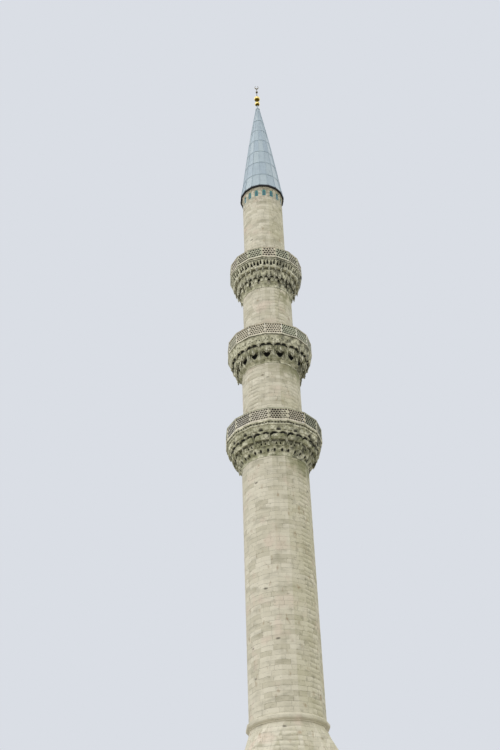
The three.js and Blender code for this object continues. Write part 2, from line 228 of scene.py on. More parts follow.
# %% [markdown]
# ## Limestone, sawn and rubbed
#
# The shafts are ashlar of a shelly limestone. It was sawn, rubbed flat and laid with thin lime
# joints, and it has weathered since. To the eye it is matt and warm grey, and each block has a
# slightly different tone. A greenish film of algae covers the side that the wet wind reaches.
#
# Image textures would repeat and carry no meaning, so each layer is a mask with a real size. The
# tone of a block comes from an attribute that the masonry writes on its faces.

# %% Colours of the stone, and where the weather reaches
BLOCK_LIGHT = linear("#D3CCB7")
BLOCK_MIDDLE = linear("#CBC4AE")
BLOCK_DARK = linear("#BEB7A0")
BLOCK_ROSE = linear("#D0BFAC")
DIRT = linear("#6F6A56")
# Black for soot specks, and for the painted shade in the carving's hollows and the marble's holes.
SOOT_AND_SHADE = linear("#1E1E19")
MOSS = linear("#7B7B55")
ALGAE = linear("#ABA678")
RUST = linear("#8A6E4C")
MORTAR = linear("#7C7562")
WEATHER_SIDE = (0.8, -0.1, 0.0)
WET_FROM = -0.1
WET_FULLY = 0.6


def weather_side(tree):
    """A mask that is strongest on the faces that the wet wind reaches."""
    return facing_mask(tree, WEATHER_SIDE, WET_FROM, WET_FULLY)


wet_turn = math.degrees(math.atan2(WEATHER_SIDE[1], WEATHER_SIDE[0]))
print(f"the wet wind reaches the side {wet_turn:.0f} degrees round from +X")

# %% [markdown]
# Iron cramps tie the blocks together behind the face. Here and there one has rusted through and left
# a small dark spot, longer than it is high. A Voronoi pattern has one centre in every cell, so the
# distance to that centre gives spots that never crowd.

# %% Spots over rusted cramps
CRAMP = linear("#3B3528")
CRAMP_SPACING = 620 * MM
CRAMP_SPOT = 75 * MM
CRAMP_STRETCH = (1.3, 1.3, 0.6)
CRAMP_CORE = 0.3


def rusted_cramps(tree):
    """A mask of small lying spots, with soft rims round a full core."""
    place = scaled_place(tree, CRAMP_SPACING, CRAMP_STRETCH)
    distance = add_node(tree, "TexVoronoi", {"Vector": place, "Scale": 1.0}).outputs["Distance"]
    rim = CRAMP_SPOT / CRAMP_SPACING
    mask = add_node(tree, "MapRange", {0: distance, 1: rim, 2: CRAMP_CORE * rim},
                    interpolation_type="SMOOTHSTEP")
    return mask.outputs[0]


print(f"spots reach {CRAMP_SPOT / MM:.0f} mm from their middles, {CRAMP_SPACING / MM:.0f} mm apart")

# %% [markdown]
# The layers are laid on in the order in which they came about: the stone's own beds, dirt in clouds,
# spots and streaks, the film of algae, rust, patches where the face has scaled off, the cramps, a
# darkening in runs below the eave, and moss where the galleries drip. The mortar comes last, and
# it is washed out of some joints more than of others.

# %% Layers of the limestone
EAVE_DARKENING_FROM = 1.1
EAVE_DARKENING_FULL = 0.1
DRIP_REACH = 0.9
KEPT_JOINT = 0.3


def limestone_layers(tree, drip_levels, eave):
    """The colour of weathered ashlar, from the block's own tone to the mortar in its joints."""
    colour = laid_over(tree, BLOCK_DARK, BLOCK_MIDDLE, stored_mask(tree, "stone_tone", -1, 0))
    colour = laid_over(tree, colour, BLOCK_LIGHT, stored_mask(tree, "stone_tone", 0, 1))
    rosy_beds = noise_mask(tree, size=700 * MM, low=0.56, high=0.72, detail=2)
    colour = laid_over(tree, colour, BLOCK_ROSE, rosy_beds, share=0.6)
    clouds = noise_mask(tree, size=450 * MM, low=0.48, high=0.74, stretch=(1, 1, 0.45), detail=6)
    colour = laid_over(tree, colour, DIRT, clouds, share=0.34)
    spots = noise_mask(tree, size=60 * MM, low=0.62, high=0.74, stretch=(1.6, 1.6, 0.7), detail=3)
    colour = laid_over(tree, colour, DIRT, spots, share=0.5)
    streaks = noise_mask(tree, size=90 * MM, low=0.6, high=0.8, stretch=(1, 1, 9), detail=3)
    colour = laid_over(tree, colour, DIRT, streaks, share=0.25)
    film = noise_mask(tree, size=900 * MM, low=0.15, high=0.7)
    colour = laid_over(tree, colour, ALGAE, film, weather_side(tree), share=0.42)
    rusty = noise_mask(tree, size=160 * MM, low=0.6, high=0.74, stretch=(1, 1, 1.8), detail=6)
    colour = laid_over(tree, colour, RUST, rusty, share=0.5)
    scaled_off = noise_mask(tree, size=150 * MM, low=0.56, high=0.66, detail=5)
    colour = laid_over(tree, colour, DIRT, scaled_off, weather_side(tree), share=0.38)
    colour = laid_over(tree, colour, CRAMP, rusted_cramps(tree), share=0.75)
    # Darker in runs over the last metre below the eave.
    near_eave = height_mask(tree, eave - EAVE_DARKENING_FROM, eave - EAVE_DARKENING_FULL)
    runs = noise_mask(tree, size=130 * MM, low=0.42, high=0.6, detail=5)
    colour = laid_over(tree, colour, DIRT, near_eave, runs, share=0.5)
    for level in drip_levels:
        from_below = height_mask(tree, level - DRIP_REACH, level)
        from_above = height_mask(tree, level + DRIP_REACH, level)
        damp = noise_mask(tree, size=300 * MM, low=0.36, high=0.56, stretch=(1, 1, 2))
        colour = laid_over(tree, colour, MOSS, from_below, from_above, damp, weather_side(tree), share=0.9)
    washed_out = noise_mask(tree, size=200 * MM, low=0.44, high=0.6, stretch=(2, 2, 0.5))
    kept = add_node(tree, "MapRange", {0: washed_out, 3: KEPT_JOINT}, interpolation_type="SMOOTHSTEP")
    mortar = add_node(tree, "Attribute", attribute_name="mortar")
    return laid_over(tree, colour, MORTAR, mortar.outputs["Fac"], kept.outputs[0], blend="MULTIPLY")


print(f"moss reaches {DRIP_REACH:.1f} m above and below a drip")

# %% [markdown]
# The shells and grit of the real stone are about a millimetre wide, which is too fine to show at
# this distance. So the grain is drawn at 12 mm and the pits at 50 mm.

# %% Limestone material
def make_limestone(drip_levels, eave):
    """Matt stone with a sandy grain and shallow pits."""
    material, tree, shader = blank_material("weathered_ashlar_limestone", roughness=0.88)
    tree.links.new(limestone_layers(tree, drip_levels, eave), shader.inputs["Base Color"])
    grain = noise_mask(tree, size=12 * MM, low=0.3, high=0.7, detail=5)
    # The ends are swapped, so the pits lie where the noise is high.
    pits = noise_mask(tree, size=50 * MM, low=0.75, high=0.55)
    roughen(tree, shader, (grain, 1.5 * MM), (pits, 4 * MM))
    return material


gallery_feet = [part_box(f"gallery_{number}_corbel_lower")[0].z for number in (1, 2, 3)]
limestone = make_limestone(gallery_feet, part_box("eave_cornice")[0].z)
print("damp patches hang round " + ", ".join(f"{z:.1f}" for z in gallery_feet) + " m")

# %% [markdown]
# ## Carved limestone under the galleries
#
# The corbels are the same stone in shelter. Rain reaches only the edges that stick out, and keeps
# them pale, and they are painted paler still as a highlight. Every hollow and every underside is
# painted black, for soot and for the shade that falls there. Between the two the stone is stained
# and specked, moss grows on the lobes, and dark mould has spread on the weather side, where it also
# paints the shade of that side.
#
# The carving writes two attributes on its points: hollow says how deep each one lies, and so how
# much painted shade or painted highlight it gets, and moss how much grows there. The layers follow them.

# %% Carved stone material
CARVED_WASHED_HIGHLIGHT = linear("#EFEBD6")
CARVED_PALE = linear("#DCD8BC")
CARVED_GREY = linear("#A6A386")
MOULD_AND_SIDE_SHADE = linear("#34362A")
SHADE_FROM = 0.1
SHADE_FULL = 0.65
HIGHLIGHT_SHARE = 0.85


def make_carved_stone():
    """Matt stone, with a painted highlight on its edges and painted shade in its hollows."""
    material, tree, shader = blank_material("carved_limestone_with_soot_shade_and_moss", roughness=0.92)
    beds = noise_mask(tree, size=160 * MM, low=0.36, high=0.66, detail=5)
    colour = laid_over(tree, CARVED_PALE, CARVED_GREY, beds)
    stains = noise_mask(tree, size=90 * MM, low=0.52, high=0.7, detail=5)
    colour = laid_over(tree, colour, DIRT, stains, share=0.65)
    # Painted highlight: points that stand out, where hollow is below 0, turn paler where little moss grows.
    proud = stored_mask(tree, "hollow", 0.0, -1.0)
    bare = stored_mask(tree, "moss", 1.0, 0.2)
    colour = laid_over(tree, colour, CARVED_WASHED_HIGHLIGHT, proud, bare, share=HIGHLIGHT_SHARE)
    cushions = noise_mask(tree, size=200 * MM, low=0.4, high=0.58, detail=5)
    growth = add_node(tree, "Attribute", attribute_name="moss")
    colour = laid_over(tree, colour, MOSS, cushions, growth.outputs["Fac"])
    specks = noise_mask(tree, size=55 * MM, low=0.58, high=0.68, detail=3)
    colour = laid_over(tree, colour, SOOT_AND_SHADE, specks, share=0.7)
    # The dark mould on the weather side also paints the shade of that side.
    blotches = noise_mask(tree, size=260 * MM, low=0.47, high=0.6, detail=6)
    colour = laid_over(tree, colour, MOULD_AND_SIDE_SHADE, blotches, weather_side(tree), share=0.8)
    # Painted shade: hollows, heads under the ledges and soffits turn black, for soot and for the shade there.
    colour = laid_over(tree, colour, SOOT_AND_SHADE, stored_mask(tree, "hollow", SHADE_FROM, SHADE_FULL))
    tree.links.new(colour, shader.inputs["Base Color"])
    grain = noise_mask(tree, size=14 * MM, low=0.3, high=0.7, detail=5)
    worn = noise_mask(tree, size=70 * MM, low=0.35, high=0.7)
    roughen(tree, shader, (grain, 2.5 * MM), (worn, 6 * MM))
    return material


carved_stone = make_carved_stone()

# %% [markdown]
# ## Marble for the parapets
#
# Each side of a parapet is one slab of marble, cut right through in a net of small holes. The slabs
# came from different beds, so one is greenish, the next rosy, the next nearly black with grime. A
# slab's tone is stored on its faces, and a tone far beyond the others paints the walls of a hole
# black as shade. Marble was polished once, and rain has left it nearly matt, with faint veins. Its
# crystals are a millimetre wide and wouldn't show, so the grain is drawn at 20 mm.

# %% Marble material
MARBLE_PALE = linear("#EFEBDC")
MARBLE_GREEN = linear("#B4B59A")
MARBLE_ROSE = linear("#CFC4AB")
MARBLE_GRIME = linear("#5B594D")
TONE_ROSE = 0.34
TONE_GREEN = 0.67
TONE_GRIME = 1.2
TONE_SHADE = 2.0


def make_marble():
    """Satin stone whose colour follows the tone of its slab, with the walls of its holes painted black as
    shade.
    """
    material, tree, shader = blank_material("weathered_marble", roughness=0.7)
    colour = laid_over(tree, MARBLE_PALE, MARBLE_ROSE, stored_mask(tree, "slab_tone", 0.0, TONE_ROSE))
    # The last step paints the walls of the holes black as shade.
    steps = ((TONE_ROSE, TONE_GREEN, MARBLE_GREEN), (TONE_GREEN, TONE_GRIME, MARBLE_GRIME),
             (TONE_GRIME, TONE_SHADE, SOOT_AND_SHADE))
    for low, high, above in steps:
        colour = laid_over(tree, colour, above, stored_mask(tree, "slab_tone", low, high))
    veins = noise_mask(tree, size=350 * MM, low=0.47, high=0.53, stretch=(1, 1, 0.4), detail=8)
    colour = laid_over(tree, colour, MARBLE_GRIME, veins, share=0.2)
    dirt = noise_mask(tree, size=80 * MM, low=0.5, high=0.75, detail=5)
    colour = laid_over(tree, colour, MARBLE_GRIME, dirt, share=0.5)
    tree.links.new(colour, shader.inputs["Base Color"])
    roughen(tree, shader, (noise_mask(tree, size=20 * MM, low=0.3, high=0.7), 1.5 * MM))
    return material


marble = make_marble()

# %% [markdown]
# ## Lead, gilding, glaze and oak
#
# Sheet lead goes from bright to a dull blue grey within weeks, as a skin of carbonate forms on it.
# That skin is what the eye sees, and it is no bare metal. So the sheets aren't metallic, but smooth
# enough for a broad sheen, and each sheet has its own tone. The drip edge at the eave is the same
# lead, nearly matt and painted black as the shade under the eave.

# %% Lead materials
LEAD_PALE = linear("#9FADB1")
LEAD_BLUE = linear("#91A1AA")
LEAD_STAIN = linear("#76828A")
# The drip edge is painted nearly black as the shade under the eave.
EAVE_SHADE_BLACK = linear("#15171A")
EAVE_SHADE_BROWN = linear("#2A2622")


def make_lead():
    """Smooth grey sheets with long runs, pale blooms and shallow dents."""
    material, tree, shader = blank_material("weathered_sheet_lead", roughness=0.3)
    colour = laid_over(tree, LEAD_BLUE, LEAD_PALE, stored_mask(tree, "sheet_tone", -1, 1))
    runs = noise_mask(tree, size=50 * MM, low=0.5, high=0.75, stretch=(1, 1, 16), detail=4)
    colour = laid_over(tree, colour, LEAD_STAIN, runs, share=0.4)
    blooms = noise_mask(tree, size=250 * MM, low=0.5, high=0.7, detail=5)
    colour = laid_over(tree, colour, LEAD_PALE, blooms, share=0.35)
    tree.links.new(colour, shader.inputs["Base Color"])
    roughen(tree, shader, (noise_mask(tree, size=180 * MM, low=0.3, high=0.7), 5 * MM))
    return material


def make_shaded_lead_edge():
    """The same sheet painted black as shade, brownish in patches."""
    material, tree, shader = blank_material("lead_edge_painted_black_as_shade", roughness=0.7, metallic=0.2)
    patches = noise_mask(tree, size=120 * MM, low=0.5, high=0.75, detail=5)
    tree.links.new(laid_over(tree, EAVE_SHADE_BLACK, EAVE_SHADE_BROWN, patches), shader.inputs["Base Color"])
    roughen(tree, shader, (noise_mask(tree, size=60 * MM, low=0.3, high=0.7), 2 * MM))
    return material


lead = make_lead()
dark_lead = make_shaded_lead_edge()

# %% [markdown]
# The finial is copper sheet beaten into balls and covered in gold leaf. Leaf keeps its colour for
# decades and stays bright, with faint dents from the hammer. The undersides of the balls are painted
# dark, as shade and as the dark reflection of the ground, and from the small ball upwards the leaf is
# gone. Gold is a metal, so its base colour is the colour of its reflections.

# %% Gilding
GOLD = linear("#F2DA86")
GOLD_WORN = linear("#80621F")
GOLD_UNDERSIDE_SHADE = linear("#66520C")
BARE_BRONZE = linear("#57503F")
GOLD_ROUGHNESS = 0.18
BRONZE_ROUGHNESS = 0.45
BRONZE_SHARE = 0.9
UNDERSIDE_SHADE_FROM = -0.35
UNDERSIDE_SHADE_FULL = -0.62
LEAF_RIM = 20 * MM


def make_gilding(leaf_ends):
    """Bright leaf up to a level, with undersides painted dark as shade and reflection, and bare metal above.
    """
    material, tree, shader = blank_material("gold_leaf_on_copper", roughness=GOLD_ROUGHNESS, metallic=1.0)
    colour = laid_over(tree, GOLD, GOLD_WORN, noise_mask(tree, size=90 * MM, low=0.48, high=0.7))
    # Painted shade and dark reflection of the ground on the undersides.
    underside = facing_mask(tree, (0, 0, 1), UNDERSIDE_SHADE_FROM, UNDERSIDE_SHADE_FULL)
    colour = laid_over(tree, colour, GOLD_UNDERSIDE_SHADE, underside)
    rim = (leaf_ends - LEAF_RIM, leaf_ends + LEAF_RIM)
    colour = laid_over(tree, colour, BARE_BRONZE, height_mask(tree, *rim), share=BRONZE_SHARE)
    tree.links.new(colour, shader.inputs["Base Color"])
    roughness = height_mask(tree, *rim, GOLD_ROUGHNESS, BRONZE_ROUGHNESS)
    tree.links.new(roughness, shader.inputs["Roughness"])
    dents = noise_mask(tree, size=30 * MM, low=0.3, high=0.7, detail=1)
    roughen(tree, shader, (dents, 0.8 * MM))
    return material


gilding = make_gilding(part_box("finial_small_ball")[0].z)

# %% [markdown]
# The frieze tiles are fired clay under a thick copper glaze: turquoise where it is thin, teal where
# it pooled, and glossy. A thin coat gives the second, sharper shine of glass over colour.

# %% Turquoise glaze
GLAZE_TURQUOISE = linear("#148C7E")
GLAZE_TEAL = linear("#004E5B")
GROUT = linear("#A9A690")
COAT_WEIGHT = 0.05
COAT_ROUGHNESS = 0.08


def make_glaze():
    """Glossy tile, teal where the glaze pooled, and the pale bed that the tiles are set in."""
    material, tree, shader = blank_material("turquoise_glazed_tile", roughness=0.2)
    shader.inputs["Coat Weight"].default_value = COAT_WEIGHT
    shader.inputs["Coat Roughness"].default_value = COAT_ROUGHNESS
    tone = add_node(tree, "Attribute", attribute_name="glaze_tone").outputs["Fac"]
    colour = laid_over(tree, GLAZE_TURQUOISE, GLAZE_TEAL, tone)
    pooled = noise_mask(tree, size=40 * MM, low=0.4, high=0.7)
    colour = laid_over(tree, colour, GLAZE_TEAL, pooled, share=0.5)
    bed = add_node(tree, "Attribute", attribute_name="grout").outputs["Fac"]
    colour = laid_over(tree, colour, GROUT, bed)
    tree.links.new(colour, shader.inputs["Base Color"])
    waves = noise_mask(tree, size=30 * MM, low=0.3, high=0.7, detail=1)
    roughen(tree, shader, (waves, 0.6 * MM))
    return material


glaze = make_glaze()

# %% [markdown]
# The doors are oak boards, oiled and greyed by the weather. The grain runs up each board: noise
# drawn out a long way along Z and kept fine across it. Growth rings are 1 mm to 2 mm apart, too fine
# to show, so they are drawn at 12 mm.

# %% Oak
OAK_DARK = linear("#372E22")
OAK_LIGHT = linear("#6C5C44")
BOARD_TONE_SHARE = 0.5


def make_oak():
    """Grained boards, some darker than others."""
    material, tree, shader = blank_material("oiled_oak_boards", roughness=0.65)
    grain = noise_mask(tree, size=12 * MM, low=0.3, high=0.7, stretch=(1, 1, 25), detail=6)
    colour = laid_over(tree, OAK_DARK, OAK_LIGHT, grain)
    boards = stored_mask(tree, "board_tone", -1, 1)
    colour = laid_over(tree, colour, OAK_DARK, boards, share=BOARD_TONE_SHARE)
    tree.links.new(colour, shader.inputs["Base Color"])
    roughen(tree, shader, (grain, 1 * MM))
    return material


oak = make_oak()
print(f"{len(bpy.data.materials)} materials are ready")

# %% [markdown]
# ## The plan of the tower
#
# Above its square foot the tower is a regular polygon with sixteen sides, and the front side faces
# -Y. Almost everything is placed by an angle round the axis, a radius and a level. The radius is
# always the one at the arrises, where two sides meet. One function turns it into a point on the
# side itself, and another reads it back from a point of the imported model.

# %% Points on the sixteen sides
SIDES = 16
SIDE_ANGLE = 2 * math.pi / SIDES
# The middle of a side is nearer to the axis than its arrises are, by this factor.
FLATNESS = math.cos(SIDE_ANGLE / 2)
MERGE = 0.1 * MM


def from_middle(angle):
    """The angle from the middle of the nearest side."""
    return (angle / SIDE_ANGLE - round(angle / SIDE_ANGLE)) * SIDE_ANGLE


def on_side(angle, radius, level):
    """The point at an angle on a sixteen-sided outline whose radius is given at its arrises."""
    reach = radius * FLATNESS / math.cos(from_middle(angle))
    return Vector((reach * math.cos(angle), reach * math.sin(angle), level))


def arris_radius(point):
    """The radius at the arrises of the sixteen-sided outline that a point lies on."""
    angle = math.atan2(point.y, point.x)
    return Vector((point.x, point.y)).length * math.cos(from_middle(angle)) / FLATNESS


def ring_sizes(node):
    """The inner and outer radius of a packed ring and its lower and upper level, in millimetres."""
    radii = [arris_radius(vert.co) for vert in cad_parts[node].data.vertices]
    low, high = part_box(node)
    return min(radii) / MM, max(radii) / MM, low.z / MM, high.z / MM


print(f"a side is {2 * math.sin(SIDE_ANGLE / 2):.3f} times as wide as the radius at its arrises")

# %% [markdown]
# Most parts are made once, at angle 0, and then copied round the axis. Blender's Array modifier can
# do that with an empty object as its centre, but a loop that turns copies of the mesh needs no
# second object, and it can also add a part to a mesh that is there already.

# %% Copies round the axis
def repeat_around(part, count=SIDES, first_angle=0.0, into=None):
    """Copies of a part that was made at angle 0, set round the axis."""
    mesh = bpy.data.meshes.new("repeated_part")
    part.to_mesh(mesh)
    part.free()
    bm = into or bmesh.new()
    for place in range(count):
        start = len(bm.verts)
        bm.from_mesh(mesh)
        bm.verts.ensure_lookup_table()
        turn = Matrix.Rotation(first_angle + place * 2 * math.pi / count, 3, "Z")
        bmesh.ops.rotate(bm, verts=bm.verts[start:], cent=(0, 0, 0), matrix=turn)
    bpy.data.meshes.remove(mesh)
    return bm


print(f"from one side to the next is a turn of {math.degrees(SIDE_ANGLE):.1f} degrees")

# %% [markdown]
# ## Finishing a piece
#
# Every new piece goes through the same last steps: its mesh becomes an object at the origin, takes
# its material, rides with the tower and hides the imported solids that it stands for. One function
# does it, so that no piece is left without a finish. It also keeps a count of triangles.
#
# A imported solid is loose triangles. A piece that starts from one takes a copy, merges its doubles
# and dissolves the edges within its flat sides.

# %% Turn a bmesh into a finished piece
triangle_count = {}
FLAT_ANGLE = math.radians(1)


def finish_piece(bm, name, material, slot, *nodes):
    """The bmesh as a finished object that rides on the tower and replaces the named nodes."""
    mesh = bpy.data.meshes.new(name)
    bm.to_mesh(mesh)
    bm.free()
    mesh.materials.append(material)
    piece = bpy.data.objects.new(name, mesh)
    scene.collection.objects.link(piece)
    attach(piece, "root")
    if nodes:
        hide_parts(*nodes)
    triangle_count[name] = sum(len(face.vertices) - 2 for face in mesh.polygons)
    print(f"{name}: {triangle_count[name]:,} triangles")
    return piece


def merged_copy(node):
    """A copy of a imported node's mesh with its doubles merged and its flat sides whole."""
    bm = bmesh.new()
    bm.from_mesh(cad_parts[node].data)
    bmesh.ops.remove_doubles(bm, verts=bm.verts, dist=MERGE)
    bmesh.ops.dissolve_limit(bm, angle_limit=FLAT_ANGLE, verts=bm.verts, edges=bm.edges)
    return bm


# %% [markdown]
# ## Laying the courses
#
# An ashlar wall is blocks of one height in level courses, with upright joints that never line up
# from one course to the next. On a tower with many sides the masons cut blocks that turn the
# corner, so a joint stands near the middle of a side and never on an arris.
#
# A bump texture would be simpler, but its lines would not turn the arrises and its blocks could not
# have a tone each. So the wall is cut like stone: level planes cut the courses, an upright plane
# cuts each joint, and every cut is marked, so that the blocks can be told apart afterwards.

# %% Cut courses and joints
COURSE_HEIGHT = 145 * MM
BLOCK_LENGTH = 400 * MM
JOINT_SPREAD = 0.24


def cut(bm, faces, point, normal):
    """Cut some faces by a plane, mark the cut as joints, and give back all the faces that result."""
    joint = bm.edges.layers.int["joint"]
    edges = {edge for face in faces for edge in face.edges}
    verts = {vert for face in faces for vert in face.verts}
    result = bmesh.ops.bisect_plane(bm, geom=list(faces) + list(edges) + list(verts), dist=MERGE,
                                    plane_co=point, plane_no=normal)
    for item in result["geom_cut"]:
        if isinstance(item, bmesh.types.BMEdge):
            item[joint] = 1
    return [item for item in result["geom"] if isinstance(item, bmesh.types.BMFace)]


def cut_joints(bm, face, rng):
    """Cut one course of one side into blocks, at places that differ from course to course."""
    across = Vector((-face.normal.y, face.normal.x, 0)).normalized()
    places = [across.dot(vert.co) for vert in face.verts]
    start = min(places)
    width = max(places) - start
    count = max(1, round(width / BLOCK_LENGTH))
    faces = [face]
    for number in range(count):
        share = (number + 0.5 + rng.uniform(-JOINT_SPREAD, JOINT_SPREAD)) / count
        faces = cut(bm, faces, across * (start + width * share), across)


print(f"courses of {COURSE_HEIGHT / MM:.0f} mm, and blocks of about {BLOCK_LENGTH / MM:.0f} mm")

# %% [markdown]
# Once the blocks are split apart at the marked cuts, each one gets its tone, and an inset that
# stands a little proud leaves a chamfered joint round it. At the end they are welded together again,
# so the solid stays closed.

# %% Lay the blocks
JOINT_HALF = 2.5 * MM
BLOCK_PROUD = 3 * MM


def blocks_of(faces):
    """Faces grouped into blocks. Faces that still share an edge belong to one block."""
    left = dict.fromkeys(faces)
    while left:
        block = [next(iter(left))]
        del left[block[0]]
        # The list grows while it is walked along, until no neighbour is left.
        for face in block:
            for neighbour in (other for edge in face.edges for other in edge.link_faces):
                if neighbour in left:
                    del left[neighbour]
                    block.append(neighbour)
        yield block


def lay_blocks(bm, is_wall, seed, even=True):
    """Cut the wall faces of a closed solid into courses of blocks with chamfered joints."""
    rng = random.Random(seed)
    bm.edges.layers.int.new("joint")
    tone = bm.faces.layers.float.new("stone_tone")
    mortar = bm.faces.layers.float.new("mortar")
    wall = [face for face in bm.faces if is_wall(face)]
    levels = [vert.co.z for face in wall for vert in face.verts]
    courses = max(1, round((max(levels) - min(levels)) / COURSE_HEIGHT))
    height = (max(levels) - min(levels)) / courses
    for course in range(1, courses):
        level = Vector((0, 0, min(levels) + course * height))
        cut(bm, [face for face in bm.faces if is_wall(face)], level, Vector((0, 0, 1)))
    for face in [face for face in bm.faces if is_wall(face)]:
        cut_joints(bm, face, rng)
    joint = bm.edges.layers.int["joint"]
    bmesh.ops.split_edges(bm, edges=[edge for edge in bm.edges if edge[joint]])
    wall = [face for face in bm.faces if is_wall(face)]
    count = 0
    for block in blocks_of(wall):
        count += 1
        block_tone = rng.uniform(-1, 1)
        for face in block:
            face[tone] = block_tone
    rims = bmesh.ops.inset_region(bm, faces=wall, thickness=JOINT_HALF, depth=BLOCK_PROUD,
                                  use_boundary=True, use_even_offset=even)
    for face in rims["faces"]:
        face[mortar] = 1
    bmesh.ops.remove_doubles(bm, verts=bm.verts, dist=MERGE)
    return count


print(f"joints of {2 * JOINT_HALF / MM:.0f} mm between blocks that stand {BLOCK_PROUD / MM:.0f} mm proud")

# %% [markdown]
# ## The four shafts
#
# Each shaft is a hollow prism, and the three upper ones have a doorway with a raised surround. Only
# the sixteen sides are coursed: a face belongs to a side when its plane lies at the right distance
# from the axis, which leaves out the surround, the doorway and the ends.

# %% Coursed shafts
LEAN_LIMIT = 0.1
SHAFTS = ["main_shaft", "second_shaft", "third_shaft", "top_shaft"]


def lies_at(distance):
    """A test for upright faces whose plane lies at that distance from the axis, facing outwards."""
    return lambda face: (abs(face.normal.z) < LEAN_LIMIT
                         and abs(face.normal.dot(face.calc_center_median()) - distance) < MM)


for seed, node in enumerate(SHAFTS):
    bm = merged_copy(node)
    top = max(vert.co.z for vert in bm.verts)
    radius = max(arris_radius(vert.co) for vert in bm.verts if vert.co.z > top - MM)
    blocks = lay_blocks(bm, lies_at(radius * FLATNESS), seed)
    finish_piece(bm, node + "_masonry", limestone, "limestone", node)
    print(f"  {blocks} blocks on a prism of radius {radius:.3f} m")

# %% [markdown]
# ## Stalactite corbels
#
# A gallery is carried by three rings of carved stone. Each ring stands nearly upright and hangs out
# a hand's width over the ring below, so from the ground its pale front shows above a dark edge. The
# carver cut one or two rows of pointed niches, shells and lobes in it and left drops below its legs.
#
# The carver works on one flat cell and repeats it, and so does this code. A cell is a front face
# with hollows pressed into it and lobes raised from it. Each of those is half a solid of
# revolution, so spinning half a pointed outline by half a turn makes it. The flat front is filled
# between their rims. Displacement or a boolean would lose the crisp edges that catch the light.

# %% Hollows and lobes
OUTLINE_STEPS = 6
SPIN_STEPS = 8
CUP_SHOULDER = 1 / 6
NICHE_SHARPNESS = 2.2


def arch(share, sharpness):
    """Half the width of a pointed arch at a share of its height, against the width at its foot."""
    return 1 - share ** sharpness


def kite(share, sharpness):
    """Half the width of a shape that is pointed at both ends, against its widest place."""
    return (1 - abs(2 * share - 1)) ** (1 / sharpness)


def cup(share, sharpness):
    """Half the width of a cup that widens upwards and closes near its top."""
    return share ** (1 / sharpness) * min(1, (1 - share) / CUP_SHOULDER)


def press(bm, across, half_width, foot, crown, depth, form=arch, sharpness=NICHE_SHARPNESS,
          open_foot=False, flutes=0.0):
    """Press half a solid of revolution into the plane y = 0. A negative depth raises it as a lobe."""
    rim = [] if open_foot else [bm.verts.new((across, 0, foot))]
    for step in range(OUTLINE_STEPS + 1):
        share = step / OUTLINE_STEPS
        reach = across + half_width * form(share, sharpness)
        rim.append(bm.verts.new((reach, 0, foot + (crown - foot) * share)))
    edges = [bm.edges.new(ends) for ends in zip(rim, rim[1:])]
    before = set(bm.verts)
    bmesh.ops.spin(bm, geom=rim + edges, cent=(across, 0, 0), axis=(0, 0, 1), angle=-math.pi,
                   steps=SPIN_STEPS)
    for vert in [vert for vert in bm.verts if vert not in before]:
        reach = Vector((vert.co.x - across, vert.co.y))
        turn = math.atan2(-vert.co.y, vert.co.x - across)
        column = round(turn / math.pi * SPIN_STEPS)
        # Every other column of a fluted shell swells out a little.
        swell = 1 + flutes * (column % 2)
        vert.co.y = -reach.length * math.sin(turn) * depth / half_width * swell


print(f"half-way up, a pointed niche is {arch(0.5, NICHE_SHARPNESS):.2f} as wide as at its foot")

# %% [markdown]
# The front of the cell is a rectangle whose foot is broken where a hollow opens downwards. It is cut
# twice when it is filled: upright, because an arris may run up its middle, and level, where the
# painted shade and soot of the ledge above begin.

# %% One cell of a corbel ring
SHADE_LINE = 0.72


def front_outline(width, height, open_feet):
    """The lines round the front of a cell, without the feet of the hollows that open downwards."""
    half = width / 2
    corners = [Vector((-half, 0, 0)), Vector((-half, 0, height)), Vector((half, 0, height)),
               Vector((half, 0, 0))]
    lines = list(zip(corners, corners[1:]))
    feet = sorted([(-half, -half), *open_feet, (half, half)])
    for (_, start), (end, _) in zip(feet, feet[1:]):
        if end - start > MERGE:
            lines.append((Vector((start, 0, 0)), Vector((end, 0, 0))))
    return lines


def carve_cell(width, height, hollows):
    """A flat cell, filled between its hollows and lobes. The front faces +Y and z starts at 0."""
    bm = bmesh.new()
    for hollow in hollows:
        press(bm, **hollow)
    bmesh.ops.remove_doubles(bm, verts=bm.verts, dist=MERGE)
    open_feet = [(hollow["across"] - hollow["half_width"], hollow["across"] + hollow["half_width"])
                 for hollow in hollows if hollow.get("open_foot")]
    for start, end in front_outline(width, height, open_feet):
        bm.edges.new((bm.verts.new(start), bm.verts.new(end)))
    bmesh.ops.remove_doubles(bm, verts=bm.verts, dist=MERGE)
    outline = [edge for edge in bm.edges
               if len(edge.link_faces) < 2 and all(abs(vert.co.y) < MERGE for vert in edge.verts)]
    bmesh.ops.triangle_fill(bm, edges=outline, use_beauty=True)
    for point, normal in (((0, 0, 0), (1, 0, 0)), ((0, 0, height * SHADE_LINE), (0, 0, 1))):
        bmesh.ops.bisect_plane(bm, geom=bm.verts[:] + bm.edges[:] + bm.faces[:], dist=MERGE,
                               plane_co=point, plane_no=normal)
    return bm


print(f"the soot of the ledge begins at {SHADE_LINE:.0%} of a cell's height")

# %% [markdown]
# ## Bending the cells round the tower
#
# The flat cells are laid side by side round the tower. A point's place across the cell becomes an
# angle, its height stays, and its depth is taken from the front of the ring, which leans outwards
# as it rises. Blender's Simple Deform modifier bends to a circle, but these rings have sixteen flat
# sides, so the bend is done point by point. On the way each point gets its two attributes: the
# painted shade and soot that its depth and the ledge above it give, a painted highlight where it
# stands out, and the moss of its ring.

# %% Bend the cells to a ring
SHADE_DEPTH = 70 * MM


